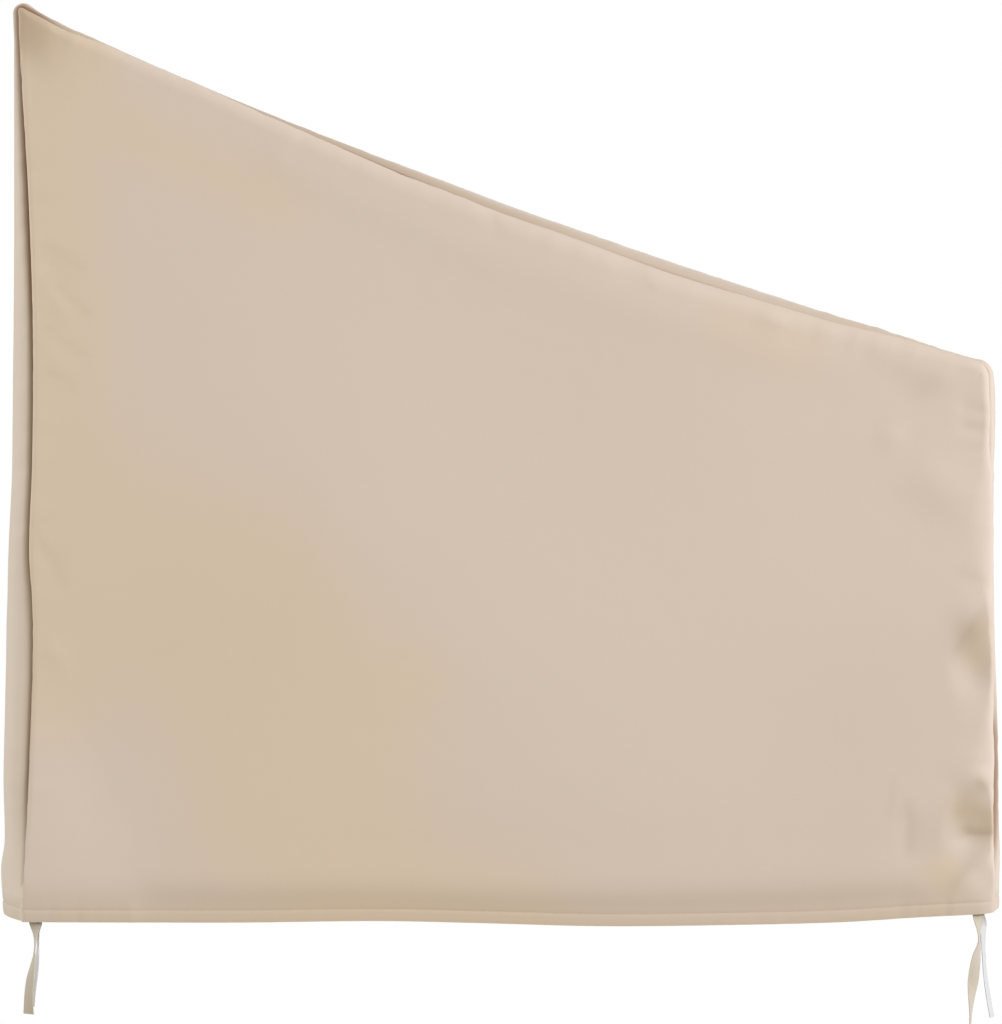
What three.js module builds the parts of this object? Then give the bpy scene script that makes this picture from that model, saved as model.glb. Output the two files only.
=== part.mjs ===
import * as THREE from 'three';

// Fitted cover for a high-backed armchair, in millimetres, with no chair in it.
// X runs from the chair's back to its front, Y across the chair and Z up.
// The cloth is laid out with Z from the hem and X from the back, and then hung with the
// origin under the ridge, where the top of the chair's back carries it.

// Cloth and sewing
const CLOTH = 1.4;
const HEM_HEIGHT = 12;
const HEM_FOLD = 1;
const HEM_STEP = 1.8;
const ALLOWANCE = 10;
const SEAM_GAP = 0.3;
const SEAM_TURN = 2;

// Width between the two seams, and how far each side panel stands out from its seam
const SEAM_TO_SEAM = 848;
const HALF_WIDTH = SEAM_TO_SEAM / 2;
const FACE_LIFT = 1;
const FACE_ROLL = 7;

// Side outline, from the hem at the back over the ridge and the front top to the front hem
const CORNERS = [
  new THREE.Vector2(21, 0),
  new THREE.Vector2(20.5, 914),
  new THREE.Vector2(990, 556.5),
  new THREE.Vector2(994.5, 0),
];
const TURN_RADII = [2, 15];
const SMALLEST_TURN = 3;

// Where the chair's back carries the cover, under the ridge
const RIDGE_HOLD = new THREE.Vector3(26, 0, 917);

// How far the centre panel swells past the seam, by the distance along the seam. The swell is
// a quarter ellipse, deeper across the cover than it is high. Towards the hem it opens out into
// a longer, straighter slope.
const SWELL_REACH = 2;
const OPEN_HEIGHT = 170;
const OPEN_REACH = 1.5;
const OPEN_SHARE = 0.8;
const SWELL = [
  { along: 0, height: 31 },
  { along: 42, height: 37.5 },
  { along: 75, height: 32 },
  { along: 140, height: 35 },
  { along: 290, height: 38 },
  { along: 380, height: 29.5 },
  { along: 560, height: 29 },
  { along: 720, height: 23 },
  { along: 830, height: 15 },
  { along: 890, height: 10 },
  { along: 912, height: 9.5 },
  { along: 930, height: 5.5 },
  { along: 950, height: 4.4 },
  { along: 1050, height: 2.5 },
  { along: 1160, height: 3 },
  { along: 1280, height: 7 },
  { along: 1400, height: 12.5 },
  { along: 1630, height: 11.5 },
  { along: 1750, height: 10.5 },
  { along: 1820, height: 5.5 },
  { along: 1920, height: 2.5 },
  { along: 1955, height: 6.5 },
  { along: 1990, height: 8 },
  { along: 2050, height: 5 },
  { along: 2190, height: 4 },
  { along: 2310, height: 7.6 },
  { along: 2405, height: 8.6 },
  { along: 2440, height: 10.5 },
  { along: 2500, height: 8.5 },
];

// How far the centre panel stands out at mid-width: arched over the back and the front, and
// sagging on the slope
const ARCH = [
  { along: 0, height: 16 },
  { along: 450, height: 14 },
  { along: 800, height: 6 },
  { along: 905, height: 1 },
  { along: 1000, height: -4 },
  { along: 1400, height: -26 },
  { along: 1750, height: -20 },
  { along: 1920, height: -3 },
  { along: 2050, height: 3 },
  { along: 2500, height: 8 },
];

// How wide the side panel's rolled edge is beside the seam
const EDGE_ROLL = [
  { along: 0, width: 9 },
  { along: 800, width: 9 },
  { along: 905, width: 12 },
  { along: 1050, width: 22 },
  { along: 1700, width: 26 },
  { along: 1940, width: 14 },
  { along: 2050, width: 26 },
  { along: 2500, width: 22 },
];

// The back seam draws in, by height over the hem
const BACK_INSET = [
  { height: 0, inset: 0 },
  { height: 100, inset: 5 },
  { height: 240, inset: 12 },
  { height: 310, inset: 12.5 },
  { height: 372, inset: 9 },
  { height: 460, inset: 12 },
  { height: 590, inset: 13 },
  { height: 720, inset: 10.5 },
  { height: 830, inset: 5 },
  { height: 914, inset: 0 },
];

// The slope hangs below a straight line, by the distance from the back
const SLOPE_SAG = [
  { x: 20, sag: 0 },
  { x: 50, sag: 5 },
  { x: 150, sag: 10 },
  { x: 400, sag: 24 },
  { x: 500, sag: 28.5 },
  { x: 600, sag: 26.5 },
  { x: 700, sag: 23 },
  { x: 815, sag: 17 },
  { x: 880, sag: 8 },
  { x: 960, sag: 2 },
  { x: 990, sag: 0 },
];

// The hem's uneven level, by the distance from the back
const HEM_RISE = [
  { x: 0, rise: 0 },
  { x: 120, rise: -0.5 },
  { x: 240, rise: -0.5 },
  { x: 380, rise: 1 },
  { x: 480, rise: -1 },
  { x: 600, rise: -4 },
  { x: 720, rise: -3 },
  { x: 840, rise: 0 },
  { x: 920, rise: 5 },
  { x: 960, rise: 7 },
  { x: 990, rise: 8.5 },
  { x: 1002, rise: 11.5 },
];

// How deep into the cloth each of the three is felt, and its share on the far side
const INSET_DEPTH = 300;
const SAG_DEPTH = 320;
const RISE_DEPTH = 180;
const FAR_SHARE = 0.6;

// Folds of the side panels, out where the height is positive: lines of x and z with a reach
const RIGHT_FOLDS = [
  { line: [[560, 440], [640, 380]], reach: 230, height: 8 },
  { line: [[40, 372], [75, 232], [120, 132], [190, 42], [230, 0]], reach: 26, height: -8 },
  { line: [[75, 140], [62, 40]], reach: 38, height: 4 },
  { line: [[230, 190], [330, 130]], reach: 130, height: -6 },
  { line: [[30, 885], [105, 855]], reach: 24, height: -5 },
  { line: [[90, 812], [420, 668], [760, 520]], reach: 42, height: -4 },
  { line: [[985, 478], [978, 370]], reach: 30, height: 3 },
  { line: [[996, 318], [972, 270]], reach: 26, height: -8 },
  { line: [[978, 235], [968, 165]], reach: 22, height: 5 },
  { line: [[996, 92], [960, 100]], reach: 17, height: -8 },
  { line: [[985, 40], [970, 55]], reach: 24, height: 4 },
  { line: [[180, 26], [740, 24]], reach: 16, height: -3 },
];
const LEFT_FOLDS = [
  { line: [[420, 430], [560, 400]], reach: 240, height: 7 },
  { line: [[45, 300], [110, 150], [170, 0]], reach: 32, height: -6 },
  { line: [[960, 330], [880, 160], [850, 0]], reach: 34, height: -6 },
  { line: [[120, 800], [430, 660], [800, 510]], reach: 45, height: -4 },
  { line: [[600, 150], [640, 0]], reach: 50, height: -4 },
];

// Folds of the centre panel: lines of the distance along the seam and of y, felt in full from
// a little way in from the seam
const FOLD_START = 40;
const CENTRE_FOLDS = [
  { line: [[60, -250], [420, -60], [760, 10]], reach: 60, height: 5 },
  { line: [[0, 190], [330, 250], [700, 330]], reach: 48, height: -6 },
  { line: [[0, -60], [260, -120]], reach: 40, height: -5 },
  { line: [[930, -300], [1150, -120]], reach: 45, height: -4 },
  { line: [[940, 310], [1250, 170]], reach: 50, height: -4 },
  { line: [[1500, -90], [1930, -330]], reach: 46, height: 4 },
  { line: [[1560, 120], [1930, 300]], reach: 46, height: 4 },
  { line: [[2060, -150], [2500, -110]], reach: 42, height: -5 },
  { line: [[2120, 160], [2500, 190]], reach: 40, height: -5 },
];

// Ties of flat tape, each folded at its middle, sewn inside a side hem and hanging in two tails
const TAPE_WIDTH = 12;
const TAPE = 1;
const TAPE_DEPTH = 6.5;
const TAPE_SEWN = 9;
const TAPE_TURN = 0.9;

// Each tail's centre line below the hem: x, how far it swings in from the side panel, its drop
// and how far it is turned from lying flat against the panel, in degrees
const BACK_TIE_X = 34;
const FRONT_TIE_X = 979.5;
const TIES = [
  {
    name: 'tie_back_right',
    side: -1,
    rootX: BACK_TIE_X,
    first: [
      { x: 34, swing: 0, drop: 2, turn: 14 },
      { x: 34.5, swing: -1, drop: 10, turn: 52 },
      { x: 34.5, swing: -2, drop: 20, turn: 74 },
      { x: 34, swing: -4, drop: 32, turn: 76 },
      { x: 32.5, swing: -6, drop: 44, turn: 62 },
      { x: 30.5, swing: -7, drop: 56, turn: 40 },
      { x: 29, swing: -7, drop: 70, turn: 20 },
      { x: 28.5, swing: -6, drop: 82, turn: 12 },
      { x: 28.5, swing: -5, drop: 92, turn: 10 },
    ],
    second: [
      { x: 35, swing: 3, drop: 2, turn: 14 },
      { x: 37, swing: 5, drop: 10, turn: 56 },
      { x: 38, swing: 7, drop: 20, turn: 76 },
      { x: 38, swing: 9, drop: 32, turn: 78 },
      { x: 36.5, swing: 10, drop: 44, turn: 66 },
      { x: 34, swing: 9, drop: 58, turn: 48 },
      { x: 31, swing: 7, drop: 72, turn: 30 },
      { x: 29, swing: 5, drop: 86, turn: 22 },
    ],
  },
  {
    name: 'tie_front_right',
    side: -1,
    rootX: FRONT_TIE_X,
    first: [
      { x: 979.5, swing: -0.5, drop: 2, turn: 8 },
      { x: 979.5, swing: -2, drop: 9, turn: 42 },
      { x: 979.5, swing: -3, drop: 17, turn: 68 },
      { x: 979.5, swing: -4, drop: 28, turn: 70 },
      { x: 977, swing: -5, drop: 40, turn: 44 },
      { x: 975, swing: -6, drop: 52, turn: 26 },
      { x: 973, swing: -8, drop: 66, turn: 22 },
      { x: 971.5, swing: -9, drop: 80, turn: 46 },
      { x: 970.5, swing: -9, drop: 95, turn: 68 },
      { x: 970, swing: -8, drop: 110, turn: 78 },
    ],
    second: [
      { x: 980, swing: 3, drop: 2, turn: 0 },
      { x: 983, swing: 6, drop: 9, turn: -20 },
      { x: 985, swing: 8, drop: 17, turn: -52 },
      { x: 985.5, swing: 9, drop: 30, turn: -64 },
      { x: 986.5, swing: 10, drop: 44, turn: -74 },
      { x: 987.5, swing: 10, drop: 58, turn: -78 },
      { x: 989, swing: 9, drop: 74, turn: -74 },
      { x: 991.5, swing: 8, drop: 90, turn: -72 },
      { x: 994, swing: 7, drop: 105, turn: -70 },
    ],
  },
  {
    name: 'tie_back_left',
    side: 1,
    rootX: BACK_TIE_X,
    first: [
      { x: 34, swing: -1, drop: 8, turn: 20 },
      { x: 33, swing: -4, drop: 28, turn: 48 },
      { x: 31, swing: -6, drop: 50, turn: 35 },
      { x: 30, swing: -7, drop: 72, turn: 20 },
      { x: 29, swing: -7, drop: 92, turn: 15 },
    ],
    second: [
      { x: 36, swing: 5, drop: 10, turn: 25 },
      { x: 39, swing: 9, drop: 32, turn: 50 },
      { x: 41, swing: 11, drop: 58, turn: 60 },
      { x: 43, swing: 11, drop: 86, turn: 55 },
    ],
  },
  {
    name: 'tie_front_left',
    side: 1,
    rootX: FRONT_TIE_X,
    first: [
      { x: 979, swing: -1, drop: 8, turn: 20 },
      { x: 977, swing: -4, drop: 30, turn: 45 },
      { x: 974, swing: -6, drop: 54, turn: 60 },
      { x: 972, swing: -7, drop: 80, turn: 40 },
      { x: 971, swing: -7, drop: 104, turn: 25 },
    ],
    second: [
      { x: 981, swing: 5, drop: 10, turn: 25 },
      { x: 984, swing: 9, drop: 34, turn: 50 },
      { x: 985, swing: 11, drop: 62, turn: 62 },
      { x: 987, swing: 11, drop: 98, turn: 50 },
    ],
  },
];

// Steps of the meshes
const UPRIGHT_STEPS = 15;
const SLOPE_STEPS = 22;
const TURN_STEPS = 4;
const SEAM_STEPS = 2;
const SWELL_STEPS = 4;
const ARCH_STEPS = 3;
const ROLL_STEPS = 3;
const TAPE_TURN_STEPS = 4;
const TAPE_ACROSS = 2;

const PANEL_CLOTH = { color: 0xd0bfac, roughness: 0.82, metalness: 0 };
const TIE_TAPE = { color: 0xcdb893, roughness: 0.88, metalness: 0 };

const QUARTER = Math.PI / 2;

function ease(share) {
  const t = THREE.MathUtils.clamp(share, 0, 1);
  return t * t * (3 - 2 * t);
}

// The shares 0 to 1 in even steps, without the first
function shares(steps) {
  return Array.from({ length: steps }, (_, step) => (step + 1) / steps);
}

// A smooth value between the rows of a table, with each row's slope taken from its neighbours
function between(table, key, column, at) {
  const last = table.length - 1;
  const place = THREE.MathUtils.clamp(at, table[0][key], table[last][key]);
  const row = Math.min(last - 1, table.findLastIndex((entry) => entry[key] <= place));
  const slopeAt = (index) => {
    const low = table[Math.max(0, index - 1)];
    const high = table[Math.min(last, index + 1)];
    return (high[column] - low[column]) / (high[key] - low[key]);
  };
  const start = table[row];
  const end = table[row + 1];
  const span = end[key] - start[key];
  const t = (place - start[key]) / span;
  const square = t * t;
  const cube = square * t;
  return (
    start[column] * (2 * cube - 3 * square + 1) +
    slopeAt(row) * span * (cube - 2 * square + t) +
    end[column] * (3 * square - 2 * cube) +
    slopeAt(row + 1) * span * (cube - square)
  );
}

function distanceToLine(a, b, line) {
  let nearest = Infinity;
  for (let i = 1; i < line.length; i += 1) {
    const [fromA, fromB] = line[i - 1];
    const runA = line[i][0] - fromA;
    const runB = line[i][1] - fromB;
    const share = ((a - fromA) * runA + (b - fromB) * runB) / (runA * runA + runB * runB);
    const t = THREE.MathUtils.clamp(share, 0, 1);
    nearest = Math.min(nearest, Math.hypot(a - fromA - t * runA, b - fromB - t * runB));
  }
  return nearest;
}

function foldHeight(folds, a, b) {
  let height = 0;
  for (const fold of folds) {
    const share = distanceToLine(a, b, fold.line) / fold.reach;
    height += fold.height * Math.exp(-share * share);
  }
  return height;
}

// Side outline as three straight runs and the two turns that join them, at any distance out
// from the seam, or in from it where that is negative

const RUNS = [0, 1, 2].map((index) => {
  const along = CORNERS[index + 1].clone().sub(CORNERS[index]).normalize();
  return { along, out: new THREE.Vector2(-along.y, along.x) };
});

function turnAt(index, offset) {
  const before = RUNS[index].out;
  const after = RUNS[index + 1].out;
  const radius = Math.max(TURN_RADII[index] + offset, SMALLEST_TURN);
  const bisector = before.clone().add(after).normalize();
  const inset = (radius - offset) / bisector.dot(before);
  const centre = CORNERS[index + 1].clone().addScaledVector(bisector, -inset);
  return { centre, radius, from: before.angle(), sweep: Math.acos(before.dot(after)) };
}

function runEnds(index, offset) {
  const out = RUNS[index].out;
  const start =
    index === 0
      ? CORNERS[0].clone().addScaledVector(out, offset)
      : turnPoint(index - 1, 1, offset);
  const end =
    index === RUNS.length - 1
      ? CORNERS[CORNERS.length - 1].clone().addScaledVector(out, offset)
      : turnPoint(index, 0, offset);
  return { start, end };
}

function turnPoint(index, share, offset) {
  const { centre, radius, from, sweep } = turnAt(index, offset);
  const angle = from - sweep * share;
  return centre.add(new THREE.Vector2(Math.cos(angle), Math.sin(angle)).multiplyScalar(radius));
}

function runPoint(station, offset) {
  const { start, end } = runEnds(station.run, offset);
  const length = start.distanceTo(end);
  const free = length - HEM_TOP;
  const travelled = [
    station.height ?? HEM_TOP + free * station.share,
    length * station.share,
    station.height === undefined ? free * station.share : length - station.height,
  ][station.run];
  return start.addScaledVector(RUNS[station.run].along, travelled);
}

function seamPoint(station, offset) {
  if (station.turn === undefined) {
    return runPoint(station, offset);
  }
  return turnPoint(station.turn, station.share, offset);
}

// Stations from the back hem to the front hem, each with its distance along the seam
const HEM_ROWS = [0, HEM_HEIGHT, HEM_HEIGHT + HEM_STEP];
const HEM_TOP = HEM_ROWS[HEM_ROWS.length - 1];
const STATIONS = [
  ...HEM_ROWS.map((height) => ({ run: 0, height })),
  ...shares(UPRIGHT_STEPS).map((share) => ({ run: 0, share })),
  ...shares(TURN_STEPS).map((share) => ({ turn: 0, share })),
  ...shares(SLOPE_STEPS).map((share) => ({ run: 1, share })),
  ...shares(TURN_STEPS).map((share) => ({ turn: 1, share })),
  ...shares(UPRIGHT_STEPS).slice(0, -1).map((share) => ({ run: 2, share })),
  ...HEM_ROWS.toReversed().map((height) => ({ run: 2, height })),
];
STATIONS.forEach((station, index) => {
  const last = STATIONS[index - 1];
  station.along = last
    ? last.along + seamPoint(station, 0).distanceTo(seamPoint(last, 0))
    : 0;
  station.hem = station.height !== undefined && station.height <= HEM_HEIGHT;
});
const RIDGE_STATION = HEM_ROWS.length + UPRIGHT_STEPS + TURN_STEPS / 2 - 1;
const FRONT_STATION = RIDGE_STATION + SLOPE_STEPS + TURN_STEPS;

// The laid-out cloth hung up: seams drawn in, slope sagging and hem uneven
function hang(x, y, z) {
  const share = 1 + (FAR_SHARE - 1) * ease((y / HALF_WIDTH + 1) / 2);
  const slopeX = THREE.MathUtils.clamp(x, CORNERS[1].x, CORNERS[2].x);
  const below = CORNERS[1].y + ((slopeX - CORNERS[1].x) * RUNS[1].along.y) / RUNS[1].along.x - z;
  const inset = between(BACK_INSET, 'height', 'inset', z) * ease(1 - (x - CORNERS[0].x) / INSET_DEPTH);
  const sag = between(SLOPE_SAG, 'x', 'sag', slopeX) * ease(1 - below / SAG_DEPTH);
  const rise = between(HEM_RISE, 'x', 'rise', x) * ease(1 - z / RISE_DEPTH);
  return new THREE.Vector3(x + share * inset, y, z + share * (rise - sag));
}

// A sheet is a list of points and of the quads between them, and is made solid at the end.
// Its quads turn anticlockwise as seen from outside.

function addStrip(sheet, rowA, rowB) {
  for (let i = 1; i < rowA.length; i += 1) {
    sheet.quads.push([rowA[i - 1], rowA[i], rowB[i], rowB[i - 1]]);
  }
}

function addPoint(sheet, point, inHem = false) {
  sheet.points.push(point);
  sheet.inHem.push(inHem);
  return sheet.points.length - 1;
}

function emptySheet() {
  return { points: [], inHem: [], quads: [] };
}

function sheetNormals(sheet) {
  const normals = sheet.points.map(() => new THREE.Vector3());
  for (const quad of sheet.quads) {
    const [a, b, c, d] = quad.map((index) => sheet.points[index]);
    const normal = c.clone().sub(a).cross(d.clone().sub(b)).normalize();
    quad.forEach((index) => normals[index].add(normal));
  }
  return normals.map((normal) => normal.normalize());
}

function borderEdges(sheet) {
  const edges = new Map();
  for (const quad of sheet.quads) {
    quad.forEach((from, corner) => {
      const to = quad[(corner + 1) % quad.length];
      if (!edges.delete(`${to} ${from}`)) {
        edges.set(`${from} ${to}`, [from, to]);
      }
    });
  }
  return [...edges.values()];
}

function solidFrom(sheet, thickness) {
  const normals = sheetNormals(sheet);
  const count = sheet.points.length;
  const outer = sheet.points.map((point, i) => point.clone().addScaledVector(normals[i], thickness / 2));
  const inner = sheet.points.map((point, i) => {
    const depth = thickness / 2 + (sheet.inHem[i] ? HEM_FOLD : 0);
    return point.clone().addScaledVector(normals[i], -depth);
  });
  const faces = [];
  for (const [a, b, c, d] of sheet.quads) {
    faces.push(a, b, c, a, c, d);
    faces.push(count + a, count + c, count + b, count + a, count + d, count + c);
  }
  for (const [from, to] of borderEdges(sheet)) {
    faces.push(to, from, count + from, to, count + from, count + to);
  }
  const geometry = new THREE.BufferGeometry().setFromPoints([...outer, ...inner]);
  geometry.setIndex(faces);
  geometry.computeVertexNormals();
  return geometry;
}

function mirrored(sheet) {
  const points = sheet.points.map((point) => new THREE.Vector3(point.x, -point.y, point.z));
  return { ...sheet, points, quads: sheet.quads.map((quad) => quad.toReversed()) };
}

function hung(sheet) {
  return { ...sheet, points: sheet.points.map(({ x, y, z }) => hang(x, y, z)) };
}

// Side panel: a rolled edge and a seam allowance round three sides, and a grid inside them

const SIDE_SEAM = -(SEAM_TURN + CLOTH + SEAM_GAP);

function edgePoint(station, roll, folds) {
  const width = between(EDGE_ROLL, 'along', 'width', station.along);
  const place = seamPoint(station, SIDE_SEAM - width * (1 - Math.cos(roll)));
  const fold = foldHeight(folds, place.x, place.y) * ease(Math.sin(roll));
  const lift = FACE_LIFT + FACE_ROLL * Math.sin(roll) + fold;
  return new THREE.Vector3(place.x, -HALF_WIDTH - lift, place.y);
}

function facePoint(x, z, folds) {
  return new THREE.Vector3(x, -HALF_WIDTH - FACE_LIFT - FACE_ROLL - foldHeight(folds, x, z), z);
}

function addFace(sheet, rim, folds) {
  const [left, top, right] = [
    rim.slice(0, RIDGE_STATION + 1),
    rim.slice(RIDGE_STATION, FRONT_STATION + 1),
    rim.slice(FRONT_STATION).toReversed(),
  ].map((side) => side.map((index) => sheet.points[index]));
  const [topLeft, topRight] = [top[0], top[top.length - 1]];
  const columns = top.length - 1;
  const rows = left.length - 1;
  const rowIndexes = [];
  for (let row = 0; row < rows; row += 1) {
    const v = (left[row].z / topLeft.z + right[row].z / topRight.z) / 2;
    const indexes = [rim[row]];
    for (let column = 1; column < columns; column += 1) {
      const u = column / columns;
      const blend = (axis) => {
        const sides = left[row][axis] * (1 - u) + right[row][axis] * u;
        const chord = topLeft[axis] * (1 - u) + topRight[axis] * u;
        return sides + v * (top[column][axis] - chord);
      };
      const inHem = row < HEM_ROWS.length - 1;
      indexes.push(addPoint(sheet, facePoint(blend('x'), blend('z'), folds), inHem));
    }
    rowIndexes.push([...indexes, rim[rim.length - 1 - row]]);
  }
  rowIndexes.push(rim.slice(RIDGE_STATION, FRONT_STATION + 1));
  for (let row = 1; row <= rows; row += 1) {
    addStrip(sheet, rowIndexes[row - 1], rowIndexes[row]);
  }
}

function sidePanelSheet(folds) {
  const sheet = emptySheet();
  const rings = [1, ...shares(ROLL_STEPS).map((share) => 1 - share)].map((share) =>
    STATIONS.map((station) => {
      const point = edgePoint(station, QUARTER * share, folds);
      return addPoint(sheet, point, station.hem && share > 0);
    }),
  );
  rings.push(
    STATIONS.map((station) => {
      const place = seamPoint(station, SIDE_SEAM);
      return addPoint(sheet, new THREE.Vector3(place.x, ALLOWANCE - HALF_WIDTH, place.y));
    }),
  );
  for (let ring = 1; ring < rings.length; ring += 1) {
    addStrip(sheet, rings[ring - 1], rings[ring]);
  }
  addFace(sheet, rings[0], folds);
  return sheet;
}

// Centre panel: one section of the cloth across the cover at each station of the seam

function halfSection(station) {
  const height = between(SWELL, 'along', 'height', station.along);
  const arch = between(ARCH, 'along', 'height', station.along);
  const fromHem = Math.min(station.along, STATIONS[STATIONS.length - 1].along - station.along);
  const open = ease(1 - fromHem / OPEN_HEIGHT);
  const reach = SWELL_REACH * height * (1 + (OPEN_REACH - 1) * open);
  const straight = OPEN_SHARE * open;
  const sewn = [{ depth: ALLOWANCE, rise: -SEAM_TURN, sewn: true }];
  for (const share of [0, ...shares(SEAM_STEPS)]) {
    const angle = QUARTER * share;
    const depth = SEAM_TURN * (1 - Math.sin(angle));
    sewn.push({ depth, rise: -SEAM_TURN * Math.cos(angle), sewn: true });
  }
  const swell = shares(SWELL_STEPS).map((share) => {
    const angle = QUARTER * share;
    const depth = (1 - straight) * (1 - Math.cos(angle)) + straight * share;
    return { depth: reach * depth, rise: height * Math.sin(angle) };
  });
  const middle = shares(ARCH_STEPS).map((share) => {
    return { depth: reach + (HALF_WIDTH - reach) * share, rise: height + arch * ease(share) };
  });
  return [...sewn, ...swell, ...middle];
}

function centrePanelSheet() {
  const sheet = emptySheet();
  const rows = STATIONS.map((station) => {
    const half = halfSection(station);
    const far = half.map((place) => ({ ...place, y: HALF_WIDTH - place.depth }));
    const near = half.slice(0, -1).map((place) => ({ ...place, y: place.depth - HALF_WIDTH }));
    return [...far, ...near.toReversed()].map((place) => {
      const fold = foldHeight(CENTRE_FOLDS, station.along, place.y);
      const rise = place.rise + fold * ease(place.depth / FOLD_START);
      const { x, y: z } = seamPoint(station, place.sewn ? place.rise : rise);
      return addPoint(sheet, new THREE.Vector3(x, place.y, z), station.hem && !place.sewn);
    });
  });
  for (let row = 1; row < rows.length; row += 1) {
    addStrip(sheet, rows[row - 1], rows[row]);
  }
  return sheet;
}

// Tie: one length of tape from the tip of a tail, up into the hem, over and down the other tail

function sewnRows(x) {
  const turned = [0, ...shares(TAPE_TURN_STEPS)].map((share) => {
    const angle = 2 * QUARTER * share;
    const swing = TAPE_TURN * (1 - Math.cos(angle));
    return { x, swing, drop: -TAPE_SEWN - TAPE_TURN * Math.sin(angle), turn: 0 };
  });
  return [
    { x, swing: 0, drop: 0, turn: 0 },
    ...turned,
    { x, swing: 2 * TAPE_TURN, drop: 0, turn: 0 },
  ];
}

function tieSheet({ side, rootX, first, second }) {
  const sheet = emptySheet();
  const face = HALF_WIDTH + FACE_LIFT + FACE_ROLL - TAPE_DEPTH;
  const level = hang(rootX, side * face, 0).z;
  const sections = [...first.toReversed(), ...sewnRows(rootX), ...second].map((row) => {
    const angle = THREE.MathUtils.degToRad(row.turn);
    const indexes = [];
    for (let column = 0; column <= TAPE_ACROSS; column += 1) {
      const width = TAPE_WIDTH * (column / TAPE_ACROSS - 0.5);
      const x = row.x + width * Math.cos(angle);
      const y = side * (face - row.swing + width * Math.sin(angle));
      indexes.push(addPoint(sheet, new THREE.Vector3(x, y, level - row.drop)));
    }
    return indexes;
  });
  for (let section = 1; section < sections.length; section += 1) {
    addStrip(sheet, sections[section - 1], sections[section]);
  }
  return sheet;
}

const cover = new THREE.Group();
cover.position.copy(RIDGE_HOLD).negate();

function addPiece(name, sheet, thickness, finish) {
  const piece = new THREE.Mesh(
    solidFrom(sheet, thickness),
    new THREE.MeshStandardMaterial({ ...finish, side: THREE.DoubleSide }),
  );
  piece.name = name;
  cover.add(piece);
}

addPiece('side_panel_right', hung(sidePanelSheet(RIGHT_FOLDS)), CLOTH, PANEL_CLOTH);
addPiece('side_panel_left', hung(mirrored(sidePanelSheet(LEFT_FOLDS))), CLOTH, PANEL_CLOTH);
addPiece('centre_panel', hung(centrePanelSheet()), CLOTH, PANEL_CLOTH);
for (const tie of TIES) {
  addPiece(tie.name, tieSheet(tie), TAPE, TIE_TAPE);
}

export default cover;
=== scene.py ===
"""Fitted cloth cover for a high-backed armchair, laid out as the pieces a maker cuts and sews.

Lengths in the tables are millimetres in the cover's own layout: x from the back to the front, y
across and z up from the hem. A mesh is moved to the frame, in metres, when it is made.
"""

import math
from collections import namedtuple

import bpy
import numpy as np
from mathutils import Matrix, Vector


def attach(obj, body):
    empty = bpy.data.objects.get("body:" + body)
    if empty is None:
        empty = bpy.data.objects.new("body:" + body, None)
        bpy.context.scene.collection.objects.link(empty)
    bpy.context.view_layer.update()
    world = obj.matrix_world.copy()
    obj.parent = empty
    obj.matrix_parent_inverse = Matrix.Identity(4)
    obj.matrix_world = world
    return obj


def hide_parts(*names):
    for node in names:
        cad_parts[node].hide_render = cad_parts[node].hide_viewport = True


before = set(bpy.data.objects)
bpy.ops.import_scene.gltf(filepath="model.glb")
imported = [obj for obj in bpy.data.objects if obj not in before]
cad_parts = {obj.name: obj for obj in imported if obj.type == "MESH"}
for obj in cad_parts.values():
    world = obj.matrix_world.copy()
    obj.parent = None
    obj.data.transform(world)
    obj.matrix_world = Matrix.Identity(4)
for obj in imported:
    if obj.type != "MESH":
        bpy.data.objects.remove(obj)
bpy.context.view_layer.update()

bl_info = {
    "name": "Armchair Cover",
    "version": (1, 0, 0),
    "blender": (4, 5, 0),
    "location": "3D View > Sidebar > Cover",
    "description": "Makes a fitted cloth cover for a high-backed armchair",
    "category": "Add Mesh",
}

BODY = "root"
HOLD = np.array((26.0, 0.0, 917.0))
QUARTER = math.pi / 2

# Side outline: hem at the back, ridge, front top and hem at the front
CORNERS = np.array(((21.0, 0.0), (20.5, 914.0), (990.0, 556.5), (994.5, 0.0)))
TURN_RADII = (2.0, 15.0)
SMALLEST_TURN = 3.0
SEAM_TURN = 1.6
SIDE_ALLOWANCE = -2.4
FACE_LIFT = 1.0
FACE_ROLL = 7.0
SWELL_REACH = 2.0
OPEN_HEIGHT = 170.0
OPEN_REACH = 1.5
OPEN_SHARE = 0.8

# Swell of the centre panel past the seam, by the distance along the seam
SWELL = (
    (0, 31), (42, 37.5), (75, 32), (140, 35), (290, 38), (380, 29.5), (560, 29), (720, 23),
    (830, 15), (890, 10), (912, 9.5), (930, 5.5), (950, 4.4), (1050, 2.5), (1160, 3),
    (1280, 7), (1400, 12.5), (1630, 11.5), (1750, 10.5), (1820, 5.5), (1920, 2.5),
    (1955, 6.5), (1990, 8), (2050, 5), (2190, 4), (2310, 7.6), (2405, 8.6), (2440, 10.5),
    (2500, 8.5),
)
# How far the centre panel stands out at mid-width, by the distance along the seam
ARCH = (
    (0, 16), (450, 14), (800, 6), (905, 1), (1000, -4), (1400, -26), (1750, -20), (1920, -3),
    (2050, 3), (2500, 8),
)
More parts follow.
